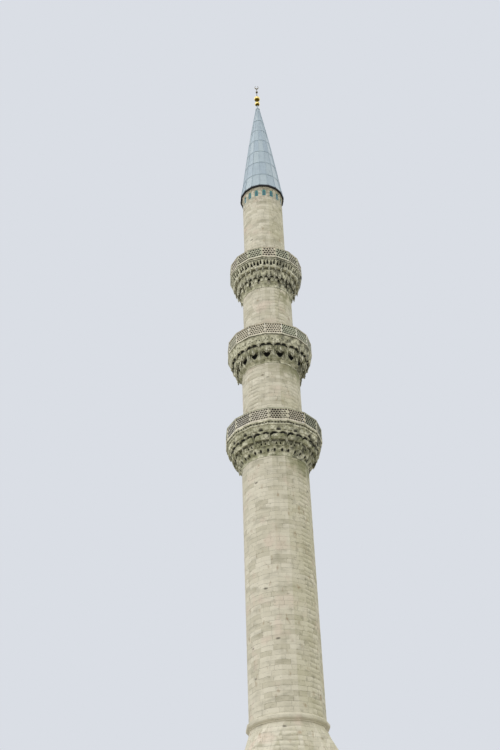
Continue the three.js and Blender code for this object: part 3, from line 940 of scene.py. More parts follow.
def ring_of_cells(cell, count, first_angle, low, high, front, moss, grime, soot):
    """Bend copies of a flat cell round the tower. front gives the radius at a share of the height."""
    flat = bpy.data.meshes.new("flat_cell")
    cell.to_mesh(flat)
    cell.free()
    width = max(vert.co.x for vert in flat.vertices) * 2
    bm = bmesh.new()
    hollow = bm.verts.layers.float.new("hollow")
    growth = bm.verts.layers.float.new("moss")
    turn = 2 * math.pi / count
    for place in range(count):
        start = len(bm.verts)
        bm.from_mesh(flat)
        bm.verts.ensure_lookup_table()
        for vert in bm.verts[start:]:
            across, out, up = vert.co
            share = up / (high - low)
            # Painted shade grows with depth and under the ledge, and a point that stands out gets a painted
            # highlight.
            under_ledge = max(0, (share - SHADE_LINE) / (1 - SHADE_LINE))
            vert[hollow] = min(1, max(-1, soot * under_ledge + grime - out / SHADE_DEPTH))
            vert[growth] = moss
            vert.co = on_side(first_angle + (place + across / width) * turn, front(share) + out, low + up)
    bpy.data.meshes.remove(flat)
    bmesh.ops.remove_doubles(bm, verts=bm.verts, dist=MERGE)
    return bm


print(f"a hollow {SHADE_DEPTH / MM:.0f} mm deep counts as 1, and a lobe that stands out as far as -1")

# %% [markdown]
# The open ring is then closed with edges that are extruded from level to level: a flat top, a
# soffit or a plain neck that leads back to the shaft, and an inner wall against it. The soffit is
# painted black as shade.

# %% Close a ring
SOFFIT_SHADE = 1.0
NECK_PROUD = 12 * MM


def boundary_at(bm, level):
    """The open edges that lie at one level."""
    return [edge for edge in bm.edges
            if edge.is_boundary and all(abs(vert.co.z - level) < MERGE for vert in edge.verts)]


def extrude_inwards(bm, edges, radius, level, soot):
    """Extrude a loop of edges to a sixteen-sided loop of another radius and level."""
    hollow = bm.verts.layers.float["hollow"]
    made = bmesh.ops.extrude_edge_only(bm, edges=edges)["geom"]
    for vert in made:
        if isinstance(vert, bmesh.types.BMVert):
            vert.co = on_side(math.atan2(vert.co.y, vert.co.x), radius, level)
            vert[hollow] = soot
    return [edge for edge in made if isinstance(edge, bmesh.types.BMEdge)]


def close_ring(bm, low, high, wall_radius, neck):
    """Close a ring of cells with a flat top, an inner wall, and a soffit or a neck below."""
    top = extrude_inwards(bm, boundary_at(bm, high), wall_radius, high, 0.0)
    foot = boundary_at(bm, low)
    if neck:
        foot = extrude_inwards(bm, foot, wall_radius + NECK_PROUD, low - neck / 2, 0.0)
        foot = extrude_inwards(bm, foot, wall_radius + NECK_PROUD, low - neck, 0.0)
    # The soffit is painted black as shade.
    foot = extrude_inwards(bm, foot, wall_radius, low - neck, SOFFIT_SHADE)
    bmesh.ops.bridge_loops(bm, edges=top + foot)
    bmesh.ops.remove_doubles(bm, verts=bm.verts, dist=MERGE)


print(f"a neck stands {NECK_PROUD / MM:.0f} mm in front of the wall of its ring")

# %% [markdown]
# ## The pendants
#
# Every leg of a corbel ends in a pendant that hangs free in front of the ring below. From the ground
# they are the brightest part of the carving, because the hollows between them are black, and their
# ridges carry a painted highlight. The carver gave them the plan of a star and stepped them in
# towards a tip.
#
# A lathe shape is made first, an outline of a few points spun about its own axis. Pulling in every
# other column of points then turns the circle into a star, and the drawn-in columns are grooves
# that are painted dark as shade.

# %% One pendant, and a row of them
PENDANT_OUTLINE = [(0, -1), (0.34, -0.93), (0.28, -0.76), (0.66, -0.58), (0.52, -0.46), (1, -0.1)]
PENDANT_COLUMNS = 8
PENDANT_PINCH = 0.66
PENDANT_INSET = 0.5
PENDANT_HIGHLIGHT = -1.0
PENDANT_GROOVE_SHADE = 0.75
FIRST_ANGLE = {"side": 0.0, "arris": SIDE_ANGLE / 2, "quarter": SIDE_ANGLE / 4}


def make_pendant(reach, level, length, thickness, rise):
    """A closed star-shaped pendant that hangs from a level, with its head let into the ring."""
    bm = bmesh.new()
    hollow = bm.verts.layers.float.new("hollow")
    outline = [(out * thickness, up * length) for out, up in PENDANT_OUTLINE]
    outline += [(thickness, rise), (0, rise)]
    chain = [bm.verts.new((reach + out, 0, level + up)) for out, up in outline]
    edges = [bm.edges.new(ends) for ends in zip(chain, chain[1:])]
    bmesh.ops.spin(bm, geom=chain + edges, cent=(reach, 0, 0), axis=(0, 0, 1), angle=2 * math.pi,
                   steps=PENDANT_COLUMNS, use_merge=True)
    for vert in bm.verts:
        turn = math.atan2(vert.co.y, vert.co.x - reach)
        # Painted highlight on the ridges, and painted shade in the drawn-in grooves.
        vert[hollow] = PENDANT_HIGHLIGHT
        if round(turn / (2 * math.pi) * PENDANT_COLUMNS) % 2:
            vert[hollow] = PENDANT_GROOVE_SHADE
            vert.co.x = reach + (vert.co.x - reach) * PENDANT_PINCH
            vert.co.y *= PENDANT_PINCH
    return bm


def hang_pendants(bm, where, radius, level, length, thickness, rise, moss):
    """Hang a pendant on every side or on every arris."""
    growth = bm.verts.layers.float["moss"]
    start = len(bm.verts)
    angle = FIRST_ANGLE[where]
    reach = on_side(angle, radius, 0).length
    repeat_around(make_pendant(reach, level, length, thickness, rise), first_angle=angle, into=bm)
    bm.verts.ensure_lookup_table()
    for vert in bm.verts[start:]:
        vert[growth] = moss


print(f"a pendant is a star of {PENDANT_COLUMNS // 2} points")

# %% [markdown]
# ## Nine rings, three to a gallery
#
# No two rings are alike. The tables below say for each how many cells it has and where they stand,
# its radius at foot and head, and what is carved in a cell: where it lies across the cell, half its
# width, its foot and crown as shares of the height, and its depth. A negative depth is a lobe. Base
# shade is painted shade over a whole ring, and a painted highlight where it is negative. Soot and
# shade blackens its head below the ledge, and moss greens it. A pendant has its place, its length,
# its thickness, how far its head reaches up, and its moss. Every size is in millimetres.
#
# The lowest gallery stands on broad fluted lobes, with shells above them and niches that open
# downwards between the legs.

# %% The rings of the lowest gallery
OPEN = {"open_foot": True}
SHELL = {"flutes": 0.14, "sharpness": 3.0}
ROUND = {"sharpness": 2.8}
SLOT = {"sharpness": 7.0}
LOBE = {"flutes": 0.1, "sharpness": 3.0}
KITE = {"form": kite, "sharpness": 1.2}
CUP = {"form": cup, "sharpness": 2.6}
BAT = {"form": cup, "sharpness": 1.5}


def mirrored(across, *rest):
    """The same form on the left and on the right of a cell."""
    return [(-across, *rest), (across, *rest)]


CORBELS = {
    "gallery_1_corbel_upper": {
        "cells": 16, "on": "side", "radii": (1460, 1557), "neck": 0,
        "grime": 0.12, "soot": 0.7, "moss": 0.4,
        "pendants": [("side", 55, 30, 20, 0.5), ("arris", 75, 34, 20, 0.5)],
        "carving": [
            (0, 92, 0.2, 0.64, 34, SHELL),
            *mirrored(0.34, 80, 0.22, 0.7, -40, ROUND),
            *mirrored(0.25, 100, 0, 0.13, 44, OPEN),
        ],
    },
    "gallery_1_corbel_middle": {
        "cells": 16, "on": "side", "radii": (1345, 1425), "neck": 0,
        "grime": 0.3, "soot": 0.5, "moss": 0.75,
        "pendants": [("arris", 130, 44, 60, 0.6), ("side", 90, 40, 20, 0.6)],
        "carving": [
            (0, 236, 0.02, 0.98, -46, LOBE),
            (-0.27, 112, 0.06, 0.86, -42, LOBE),
            (0.24, 96, 0.2, 0.98, -42, LOBE),
        ],
    },
    "gallery_1_corbel_lower": {
        "cells": 16, "on": "side", "radii": (1170, 1300), "neck": 180,
        "grime": 0.15, "soot": 0.4, "moss": 0.6,
        "pendants": [("arris", 80, 40, 20, 0.3)],
        "carving": [
            *mirrored(0.14, 28, 0.56, 0.84, 110, ROUND),
            *mirrored(0.36, 52, 0.4, 0.94, -46, ROUND),
            (0, 110, 0.08, 0.48, 20, CUP),
            *mirrored(0.27, 46, 0, 0.2, 44, OPEN),
        ],
    },
}
print(f"{len(CORBELS)} rings under the lowest gallery")

# %% [markdown]
# On the middle gallery the cells stand on the arrises. Small deep holes are drilled in the top ring,
# long drops hang in front of the middle one, and each cell of the lowest is one wide cup.

# %% The rings of the middle gallery
CORBELS["gallery_2_corbel_upper"] = {
    "cells": 16, "on": "arris", "radii": (1370, 1440), "neck": 0,
    "grime": 0.0, "soot": 0.1, "moss": 0.1,
    "pendants": [("side", 105, 60, 20, 0.2), ("arris", 45, 30, 20, 0.2)],
    "carving": [
        *mirrored(0.2, 84, 0, 0.1, 60, OPEN),
        *mirrored(0.25, 52, 0.88, 0.4, 10, ROUND),
        (0, 18, 0.56, 0.82, 100, {}),
        (-0.12, 17, 0.36, 0.56, 100, {}),
        (0.13, 17, 0.4, 0.62, 100, {}),
        (-0.4, 18, 0.4, 0.66, 100, {}),
        (0.4, 18, 0.46, 0.74, 100, {}),
    ],
}
CORBELS["gallery_2_corbel_middle"] = {
    "cells": 16, "on": "arris", "radii": (1235, 1290), "neck": 0,
    "grime": 0.22, "soot": 0.5, "moss": 0.6,
    "pendants": [("arris", 70, 78, 170, 0.0), ("side", 290, 76, 60, 0.6)],
    "carving": mirrored(0.29, 52, 0.2, 0.9, -30, ROUND),
}
CORBELS["gallery_2_corbel_lower"] = {
    "cells": 16, "on": "arris", "radii": (1100, 1150), "neck": 120,
    "grime": 0.0, "soot": 0.4, "moss": 0.5,
    "pendants": [],
    "carving": [(0, 160, 0.08, 0.99, 160, BAT)],
}
print(f"{len(CORBELS)} rings with the middle gallery")

# %% [markdown]
# The top gallery has twice as many cells in its top ring, each a pair of deep round hollows, with
# long drops between them. Narrow kites and slots are cut in the two rings below.

# %% The rings of the top gallery
CORBELS["gallery_3_corbel_upper"] = {
    "cells": 32, "on": "quarter", "radii": (1205, 1319), "neck": 0,
    "grime": -0.3, "soot": 1.0, "moss": 0.2,
    "pendants": [("side", 170, 48, 30, 0.0), ("arris", 150, 38, 30, 0.3)],
    "carving": [
        (-0.2, 50, 0.22, 0.86, 110, ROUND),
        (0.24, 42, 0.34, 0.94, 110, ROUND),
    ],
}
CORBELS["gallery_3_corbel_middle"] = {
    "cells": 16, "on": "side", "radii": (1070, 1105), "neck": 0,
    "grime": 0.1, "soot": 0.5, "moss": 0.2,
    "pendants": [("side", 85, 64, 200, 0.0), ("arris", 165, 44, 30, 0.3)],
    "carving": [
        *mirrored(0.2, 58, 0, 0.7, 24, OPEN),
        *mirrored(0.44, 20, 0.3, 0.94, 30, KITE),
    ],
}
CORBELS["gallery_3_corbel_lower"] = {
    "cells": 16, "on": "side", "radii": (930, 975), "neck": 126,
    "grime": 0.05, "soot": 0.4, "moss": 0.3,
    "pendants": [],
    "carving": [
        (0, 54, 0.0, 0.9, 140, SLOT),
        *mirrored(0.29, 58, 0.34, 0.94, -36, ROUND),
        *mirrored(0.25, 72, 0, 0.2, 16, OPEN),
    ],
}
print(f"{len(CORBELS)} rings with the top gallery")

# %% [markdown]
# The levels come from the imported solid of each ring, and so does the radius of the wall behind it.
# The first cell of a ring stands on the side, on the arris or at a quarter of the side nearest +X.

# %% Carve the nine rings
def carve_ring(node, design):
    """Carve one cell, bend its copies round the tower, close the ring and hang its pendants."""
    neck = design["neck"] * MM
    wall_radius, _, low, high = (size * MM for size in ring_sizes(node))
    low += neck
    foot_radius, head_radius = (radius * MM for radius in design["radii"])
    height = high - low
    width = math.pi * (foot_radius + head_radius) / design["cells"]

    def front(share):
        """The radius of the front at a share of its height."""
        return foot_radius + (head_radius - foot_radius) * share

    hollows = [
        {"across": across * width, "half_width": half * MM, "foot": foot * height,
         "crown": crown * height, "depth": depth * MM, **extra}
        for across, half, foot, crown, depth, extra in design["carving"]
    ]
    bm = ring_of_cells(carve_cell(width, height, hollows), design["cells"], FIRST_ANGLE[design["on"]],
                       low, high, front, design["moss"], design["grime"], design["soot"])
    close_ring(bm, low, high, wall_radius, neck)
    for where, length, thickness, rise, moss in design["pendants"]:
        hang_pendants(bm, where, foot_radius - PENDANT_INSET * thickness * MM, low, length * MM,
                      thickness * MM, rise * MM, moss)
    bmesh.ops.remove_doubles(bm, verts=bm.verts, dist=MERGE)
    bmesh.ops.recalc_face_normals(bm, faces=bm.faces)
    finish_piece(bm, node + "_carved", carved_stone, "weathered_limestone", node)


for node, design in CORBELS.items():
    carve_ring(node, design)

# %% [markdown]
# ## Rings with a moulded section
#
# Floors, rails, cornices and the lead edge are all rings with one section all round. A mason cuts
# such a moulding with a template pulled along the stone. Here a template is a list of points, each
# a step out from an edge and a step up from a level, in millimetres, and a third number is soot and
# painted shade.
#
# The section is drawn once at an arris and spun round the axis in as many steps as there are sides,
# so every side comes out flat. The same function turns the balls of the finial, with more steps.

# %% Set a template and spin a section
def set_template(template, edge, level):
    """The points of a template, set at an edge and at a level."""
    return [(edge + out, level + up, *soot) for out, up, *soot in template]


def spin_section(section, steps=SIDES, closed=True, smooth=False):
    """A solid from (radius, level, soot and shade) points in millimetres, spun about the tower's axis."""
    bm = bmesh.new()
    hollow = bm.verts.layers.float.new("hollow")
    first = math.pi / steps
    verts = []
    for radius, level, *soot in section:
        vert = bm.verts.new(Vector((radius * math.cos(first), radius * math.sin(first), level)) * MM)
        vert[hollow] = soot[0] if soot else 0.0
        verts.append(vert)
    ends = verts[1:] + verts[:1] if closed else verts[1:]
    edges = [bm.edges.new(pair) for pair in zip(verts, ends)]
    bmesh.ops.spin(bm, geom=verts + edges, cent=(0, 0, 0), axis=(0, 0, 1), angle=2 * math.pi,
                   steps=steps, use_merge=True)
    bmesh.ops.remove_doubles(bm, verts=bm.verts, dist=MERGE)
    bmesh.ops.recalc_face_normals(bm, faces=bm.faces)
    for face in bm.faces:
        face.smooth = smooth
    return bm


print(f"10 mm out from 500 and 20 mm up from 900 is {set_template([(10, 20)], 500, 900)[0]}")

# %% [markdown]
# Three small helpers remain. Equal parts of one mesh, such as the sixteen slabs of a parapet, get
# a tone of their own, which is a number on their faces. Posts, dentils and boards are boxes with
# bevelled edges. Slabs, tiles and the crescent are flat outlines, pulled through their thickness.

# %% Tones, boxes and plates
def paint_copies(bm, layer_name, tones):
    """Give each of the equal parts of a mesh its own tone, where it has none yet."""
    layer = bm.faces.layers.float.get(layer_name) or bm.faces.layers.float.new(layer_name)
    bm.faces.ensure_lookup_table()
    size = len(bm.faces) // len(tones)
    for place, tone in enumerate(tones):
        for face in bm.faces[place * size:(place + 1) * size]:
            face[layer] = max(face[layer], tone)


def bevelled_box(centre, size, bevel=0.0):
    """A box with its centre and size in metres and, if wanted, bevelled edges."""
    bm = bmesh.new()
    placed = Matrix.Translation(centre) @ Matrix.Diagonal((*size, 1))
    bmesh.ops.create_cube(bm, size=1.0, matrix=placed)
    if bevel:
        bmesh.ops.bevel(bm, geom=bm.edges[:], offset=bevel, offset_type="OFFSET", segments=1,
                        profile=0.5, affect="EDGES", material=-1)
    return bm


def thicken(bm, shift):
    """Pull a flat outline through its thickness, which closes it to a solid."""
    made = bmesh.ops.extrude_face_region(bm, geom=bm.faces[:], use_keep_orig=True)["geom"]
    bmesh.ops.translate(bm, verts=[item for item in made if isinstance(item, bmesh.types.BMVert)],
                        vec=shift)
    bmesh.ops.recalc_face_normals(bm, faces=bm.faces)


trial = bevelled_box((0, 0, 0), (1, 1, 1), bevel=0.1)
print(f"a box has {len(trial.faces)} faces once its edges are bevelled")
trial.free()

# %% [markdown]
# ## Gallery floors
#
# A floor is one course of slabs that lies on the upper corbels, and its edge shows below the
# parapet. On the two upper galleries one deep groove runs round it, painted black as shade, which
# reads as a dark cord from the ground. The lowest gallery is richer: a rounded string course with
# its underside painted dark as shade lies on its corbels, and above that a row of small dentils
# stands in a sunk band, painted dark as shade.

# %% Moulded floor edges
# The backs of the grooves and the underside of the string course are painted black as shade.
GROOVE_SHADE = 1.0
CORD_EDGE = [(-12, 26), (-4, 31), (-4, 36), (-30, 39, GROOVE_SHADE), (-30, 68, GROOVE_SHADE),
             (-2, 71), (0, 76)]
SUNK_BAND = [(-20, 0, GROOVE_SHADE), (-20, 36, GROOVE_SHADE)]
BAND_LIP = [(-8, 42), (0, 50)]
STRING_COURSE = [(-80, -66, GROOVE_SHADE), (-6, -64), (8, -52), (12, -33), (6, -12), (-8, -2), (-80, 0)]
DENTILS_PER_SIDE = 6
DENTIL_SIZE = (24 * MM, 58 * MM, 28 * MM)
DENTIL_SETBACK = 10 * MM
DENTIL_RISE = 19


def add_string_and_dentils(bm, head, underside):
    """A string course at the head of the corbels, and dentils in the band above it."""
    repeat_around(spin_section(set_template(STRING_COURSE, head, underside)), 1, into=bm)
    side_width = 2 * head * MM * math.sin(SIDE_ANGLE / 2)
    for place in range(DENTILS_PER_SIDE):
        across = ((place + 0.5) / DENTILS_PER_SIDE - 0.5) * side_width
        centre = (head * MM * FLATNESS - DENTIL_SETBACK, across, (underside + DENTIL_RISE) * MM)
        repeat_around(bevelled_box(centre, DENTIL_SIZE), into=bm)


for number in (1, 2, 3):
    node = f"gallery_{number}_floor"
    inner, edge, underside, top = ring_sizes(node)
    head = CORBELS[f"gallery_{number}_corbel_upper"]["radii"][1]
    outside = [(head, underside), *set_template(CORD_EDGE, edge, underside)]
    if number == 1:
        outside = set_template(SUNK_BAND, head, underside) + set_template(BAND_LIP, edge, underside)
    bm = spin_section([(inner, underside), *outside, (edge, top), (inner, top)])
    if number == 1:
        add_string_and_dentils(bm, head, underside)
    finish_piece(bm, node + "_moulded", carved_stone, "limestone", node)

# %% [markdown]
# ## Pierced parapets
#
# A parapet has a slab of marble on each side, held between two moulded rails and a post on every
# arris. The slabs were cut through with drill and chisel in staggered rows: hexagons on the lower
# two galleries, finer on the second, and four-pointed stars on the third. The walls of the holes are
# painted black as shade.
#
# The holes are real holes here, because light passes through them. A slab is drawn as a rectangle
# with a ring of edges for each hole, filled between them, and pulled to its thickness. The mason
# divided the net evenly between the posts, and so does the code. On this model the real holes would
# be 50 mm to 75 mm apart. They are drawn somewhat wider apart, so that they still show.

# %% A slab with holes
SLAB_RIM = 12 * MM
ROW_STAGGER = math.sqrt(0.75)
HOLE_SHADE = 2.0


def hole_places(width, height, pitch, radius, points):
    """The centres of staggered rows of holes, spread evenly over a slab."""
    room = width - 2 * (SLAB_RIM + radius * math.cos(math.pi / points))
    columns = round(room / pitch) + 1
    pitch = room / (columns - 1)
    lowest = SLAB_RIM + radius
    rows = round((height - 2 * lowest) / (pitch * ROW_STAGGER)) + 1
    row_pitch = (height - 2 * lowest) / (rows - 1)
    for row in range(rows):
        count = columns - row % 2
        for column in range(count):
            yield Vector((0, (column - (count - 1) / 2) * pitch, lowest + row * row_pitch))


def pierced_slab(width, height, thickness, pitch, radius, points, pinch):
    """A slab in the plane x = 0 with staggered holes. pinch draws every other corner inwards."""
    bm = bmesh.new()
    half = width / 2
    corners = [bm.verts.new((0, across, level))
               for across, level in ((-half, 0), (half, 0), (half, height), (-half, height))]
    for ends in zip(corners, corners[1:] + corners[:1]):
        bm.edges.new(ends)
    upright = Matrix.Rotation(math.pi / 2, 4, "Y")
    for place in hole_places(width, height, pitch, radius, points):
        hole = bmesh.ops.create_circle(bm, cap_ends=False, segments=points, radius=radius,
                                       matrix=Matrix.Translation(place) @ upright)["verts"]
        for vert in hole[1::2]:
            vert.co = place + (vert.co - place) * pinch
    bmesh.ops.triangle_fill(bm, edges=bm.edges[:], use_beauty=True)
    tone = bm.faces.layers.float.new("slab_tone")
    thicken(bm, (-thickness, 0, 0))
    # The walls of the holes and the edges of the slab are painted black as shade.
    for face in bm.faces:
        if abs(face.normal.x) < 0.5:
            face[tone] = HOLE_SHADE
    return bm


print(f"a rim of {SLAB_RIM / MM:.0f} mm stays whole round the holes of a slab")

# %% [markdown]
# The front side of the tower is number twelve when the sides are counted from +X, so the tones of
# the slabs round it are listed, and the others are drawn by chance. The sizes are in
# millimetres.

# %% Rails, posts and slabs
LOWER_RAIL_HEIGHT = 42
LOWER_RAIL_TONE = 0.22
LOWER_RAIL = [(-72, 0), (-4, 0), (0, 6), (0, 20), (-7, 24), (-7, 32), (-14, 42), (-72, 42)]
TOP_RAIL_HEIGHT = 30
TOP_RAIL = [(-72, -30), (-14, -30), (-4, -24), (0, -18), (0, -10), (-10, 0), (-62, 0), (-72, -10)]
SLAB_SETBACK = 18
SLAB_THICKNESS = 54
SLAB_JOINT = 4
SLAB_TONES = (0.1, 0.8)
POST_SETBACK = 3
POST_OVERLAP = 2
POST_BEVEL = 3 * MM


def make_rails(design, edge, bottom, top, height):
    """The two rails of a parapet, and between them a post on every arris."""
    middle = (bottom + top + LOWER_RAIL_HEIGHT - TOP_RAIL_HEIGHT) / 2
    depth = SLAB_SETBACK + SLAB_THICKNESS + POST_OVERLAP
    post = bevelled_box(Vector((edge - POST_SETBACK - depth / 2, 0, middle)) * MM,
                        Vector((depth, design["post"], height + 2 * POST_OVERLAP)) * MM, POST_BEVEL)
    top_rail = spin_section(set_template(TOP_RAIL, edge, top))
    lower_rail = spin_section(set_template(LOWER_RAIL, edge, bottom))
    paint_copies(post, "slab_tone", [design["post_tone"]])
    paint_copies(top_rail, "slab_tone", [design["rail_tone"]])
    paint_copies(lower_rail, "slab_tone", [LOWER_RAIL_TONE])
    rails = repeat_around(post, first_angle=SIDE_ANGLE / 2)
    for rail in (top_rail, lower_rail):
        repeat_around(rail, 1, into=rails)
    return rails


def make_lattice(design, edge, bottom, height, seed):
    """The sixteen pierced slabs of a parapet, each with its own tone."""
    face = edge - SLAB_SETBACK
    width = 2 * face * math.sin(SIDE_ANGLE / 2) - SLAB_JOINT
    slab = pierced_slab(width * MM, height * MM, SLAB_THICKNESS * MM, design["pitch"] * MM,
                        design["radius"] * MM, design["points"], design["pinch"])
    place = (face * FLATNESS * MM, 0, (bottom + LOWER_RAIL_HEIGHT) * MM)
    bmesh.ops.translate(slab, verts=slab.verts, vec=place)
    lattice = repeat_around(slab)
    rng = random.Random(seed)
    drawn = [rng.uniform(*SLAB_TONES) for _ in range(SIDES)]
    paint_copies(lattice, "slab_tone", [design["tones"].get(side, drawn[side]) for side in range(SIDES)])
    return lattice


print(f"rails of {LOWER_RAIL_HEIGHT} mm and {TOP_RAIL_HEIGHT} mm, and slabs {SLAB_THICKNESS} mm thick")

# %% [markdown]
# Each gallery has its own net. The holes are given by how far apart they are, how wide they are from
# the middle to a corner, how many corners they have, and how far every other corner is drawn in.

# %% Build the three parapets
PARAPETS = {
    1: {"pitch": 87, "radius": 41, "points": 6, "pinch": 1.0,
        "post": 20, "post_tone": 0.5, "rail_tone": 0.7,
        "tones": {10: 0.2, 11: 0.24, 12: 0.45, 13: 0.34, 14: 0.66}},
    2: {"pitch": 81, "radius": 32, "points": 6, "pinch": 1.0,
        "post": 18, "post_tone": 0.1, "rail_tone": 0.3,
        "tones": {10: 0.42, 11: 0.4, 12: 0.3, 13: 0.68, 14: 0.64}},
    3: {"pitch": 98, "radius": 50, "points": 8, "pinch": 0.7,
        "post": 14, "post_tone": 0.67, "rail_tone": 0.4,
        "tones": {10: 0.5, 11: 0.64, 12: 0.3, 13: 0.7, 14: 0.5}},
}

for number, design in PARAPETS.items():
    node = f"gallery_{number}_parapet"
    _, edge, bottom, top = ring_sizes(node)
    height = top - bottom - LOWER_RAIL_HEIGHT - TOP_RAIL_HEIGHT
    rails = make_rails(design, edge, bottom, top, height)
    finish_piece(rails, f"gallery_{number}_rails", marble, "marble", node)
    lattice = make_lattice(design, edge, bottom, height, seed=number)
    finish_piece(lattice, f"gallery_{number}_lattice", marble, "marble", node)

# %% [markdown]
# ## Doors
#
# A door onto a gallery is a leaf of upright oak boards on two ledges. Boards shrink, so a narrow
# joint shows between them, and no two have the same tone. The entrance at the foot is the same,
# only larger.

# %% Plank doors
DOORS = ["base_door", "second_shaft_door", "third_shaft_door", "top_shaft_door"]
BOARD_WIDTH = 85 * MM
BOARD_BEVEL = 2 * MM
LEDGE_LEVELS = (0.18, 0.78)
LEDGE_HEIGHT = 50 * MM
LEDGE_PROUD = 8 * MM
LEDGE_SHORTER = 30 * MM

for node in DOORS:
    low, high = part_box(node)
    size, middle = high - low, (low + high) / 2
    count = round(size.x / BOARD_WIDTH)
    bm = bmesh.new()
    tone = bm.faces.layers.float.new("board_tone")
    rng = random.Random(count)
    for number in range(count):
        centre = (low.x + (number + 0.5) * size.x / count, middle.y + LEDGE_PROUD / 2, middle.z)
        board = bevelled_box(centre, (size.x / count, size.y - LEDGE_PROUD, size.z), BOARD_BEVEL)
        start = len(bm.faces)
        repeat_around(board, 1, into=bm)
        bm.faces.ensure_lookup_table()
        board_tone = rng.uniform(-1, 1)
        for face in bm.faces[start:]:
            face[tone] = board_tone
    for share in LEDGE_LEVELS:
        centre = (middle.x, low.y + LEDGE_PROUD, low.z + size.z * share)
        ledge = bevelled_box(centre, (size.x - LEDGE_SHORTER, 2 * LEDGE_PROUD, LEDGE_HEIGHT), BOARD_BEVEL)
        repeat_around(ledge, 1, into=bm)
    finish_piece(bm, node + "_boards", oak, "wood", node)

# %% [markdown]
# ## Tiles under the eave
#
# A frieze runs below the eave, with a tall sunk panel on each side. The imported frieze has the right
# form already, so it only takes a material.

# %% The frieze
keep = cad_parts["tile_frieze"]
keep.data.materials.clear()
keep.data.materials.append(limestone)

low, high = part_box("tile_frieze")
frieze_radius = max(arris_radius(vert.co) for vert in keep.data.vertices)
panel_levels = [vert.co.z for vert in keep.data.vertices if low.z + MM < vert.co.z < high.z - MM]
panel_low, panel_high = min(panel_levels), max(panel_levels)
print(f"the sunk panels are {panel_high - panel_low:.3f} m tall")

# %% [markdown]
# Each panel is filled with glazed tiles cut to a pointed arch: a turquoise arch and a smaller teal
# one in it, set in a bed of pale mortar. Every tile is a flat outline with a thickness, and it lies
# a little in front of the one behind it.

# %% Tiles in the panels
TILE_GAP = 5 * MM
TILE_ARCH_STEPS = 7
ARCH_FULLNESS = 0.8
ARCH_POINT = 1.25
PANEL_HALF_WIDTH = 75 * MM
PANEL_DEPTH = 17.5 * MM
SPRING_SHARE = 0.62
BED_THICKNESS = 6 * MM
TILES = [
    {"side": 8, "foot": 8, "spring": 0, "crown": 12, "back": 5, "front": 11, "tone": 0.15},
    {"side": 34, "foot": 30, "spring": 10, "crown": 60, "back": 10, "front": 15, "tone": 1.0},
]


def arch_outline(half_width, foot, spring, crown):
    """A pointed arch as points across and up, from the left foot over the crown to the right foot."""
    turns = [step * math.pi / 2 / TILE_ARCH_STEPS for step in range(TILE_ARCH_STEPS)]
    rise = [(half_width * math.cos(turn) ** ARCH_FULLNESS,
             spring + (crown - spring) * math.sin(turn) ** ARCH_POINT) for turn in turns]
    right = [(half_width, foot), *rise]
    return [(-across, up) for across, up in right] + [(0, crown)] + right[::-1]


def tile(outline, back, front, glaze_tone, grout_tone=0.0):
    """A flat tile with that outline in the plane across x, from back to front."""
    bm = bmesh.new()
    bm.faces.new([bm.verts.new((back, across, up)) for across, up in outline])
    thicken(bm, (front - back, 0, 0))
    paint_copies(bm, "glaze_tone", [glaze_tone])
    paint_copies(bm, "grout", [grout_tone])
    return bm


half = PANEL_HALF_WIDTH - TILE_GAP / 2
foot, crown = panel_low + TILE_GAP / 2, panel_high - TILE_GAP / 2
spring = foot + (crown - foot) * SPRING_SHARE
back = frieze_radius * FLATNESS - PANEL_DEPTH
bed = [(-half, foot), (-half, crown), (half, crown), (half, foot)]
panel = tile(bed, back, back + BED_THICKNESS, glaze_tone=0.6, grout_tone=1.0)
for design in TILES:
    outline = arch_outline(half - design["side"] * MM, foot + design["foot"] * MM,
                           spring - design["spring"] * MM, crown - design["crown"] * MM)
    arched = tile(outline, back + design["back"] * MM, back + design["front"] * MM, design["tone"])
    repeat_around(arched, 1, into=panel)
finish_piece(repeat_around(panel), "frieze_tiles", glaze, "tile")

# %% [markdown]
# ## Eave
#
# A thin stone cornice carries the edge of the roof. The boards of the roof end in a lead drip edge
# that hangs out over it, and that edge is painted nearly black as the shade of the eave.

# %% Cornice and drip edge
EAVE_HOLLOW = [(0, 0), (3, 10), (10, 22)]
EAVE_LIP = [(-8, 36), (0, 44)]
DRIP_FOOT = [(-14, 0), (0, 6)]
DRIP_HEAD = [(0, -22), (-6, -16), (-6, 0)]

inner, edge, bottom, top = ring_sizes("eave_cornice")
cornice = [(inner, bottom), *set_template(EAVE_HOLLOW, frieze_radius / MM, bottom),
           *set_template(EAVE_LIP, edge, bottom), (edge, top), (inner, top)]
finish_piece(spin_section(cornice), "eave_cornice_moulded", limestone, "limestone", "eave_cornice")

inner, edge, bottom, top = ring_sizes("eave_fascia")
drip_edge = [(inner, bottom), *set_template(DRIP_FOOT, edge, bottom),
             *set_template(DRIP_HEAD, edge, top), (inner, top)]
finish_piece(spin_section(drip_edge), "eave_drip_edge", dark_lead, "dark_lead", "eave_fascia")

# %% [markdown]
# ## The lead cone
#
# The roof is boarded and covered with sheets of lead, one column of sheets to a side. Lead is soft
# and heavy and creeps downhill, so the sheets are short: each is held at its top, under the foot of
# the sheet above. One outline with a small step at every lap is spun round the axis, and then the
# tone of each sheet is drawn. Radii and levels are in millimetres.

# %% Sheets of lead
CONE_OUTLINE = [(845, 30925), (762, 31430), (615, 32640), (450, 33907), (312, 34900), (171, 35813),
                (78, 36384)]
CONE_INSIDE = [(0, 35400), (785, 30925)]
CONE_LAPS = [31635, 32440, 33205, 33990, 34730, 35480]
LAP_STEP = 9
LAP_TUCK = 1
LAP_RISE = 2
SHEET_SEED = 7


def cone_radius(level):
    """The radius of the roof at a level, between the points of its outline."""
    for (low_radius, low), (high_radius, high) in zip(CONE_OUTLINE, CONE_OUTLINE[1:]):
        if level <= high:
            return low_radius + (high_radius - low_radius) * (level - low) / (high - low)
    return CONE_OUTLINE[-1][0]


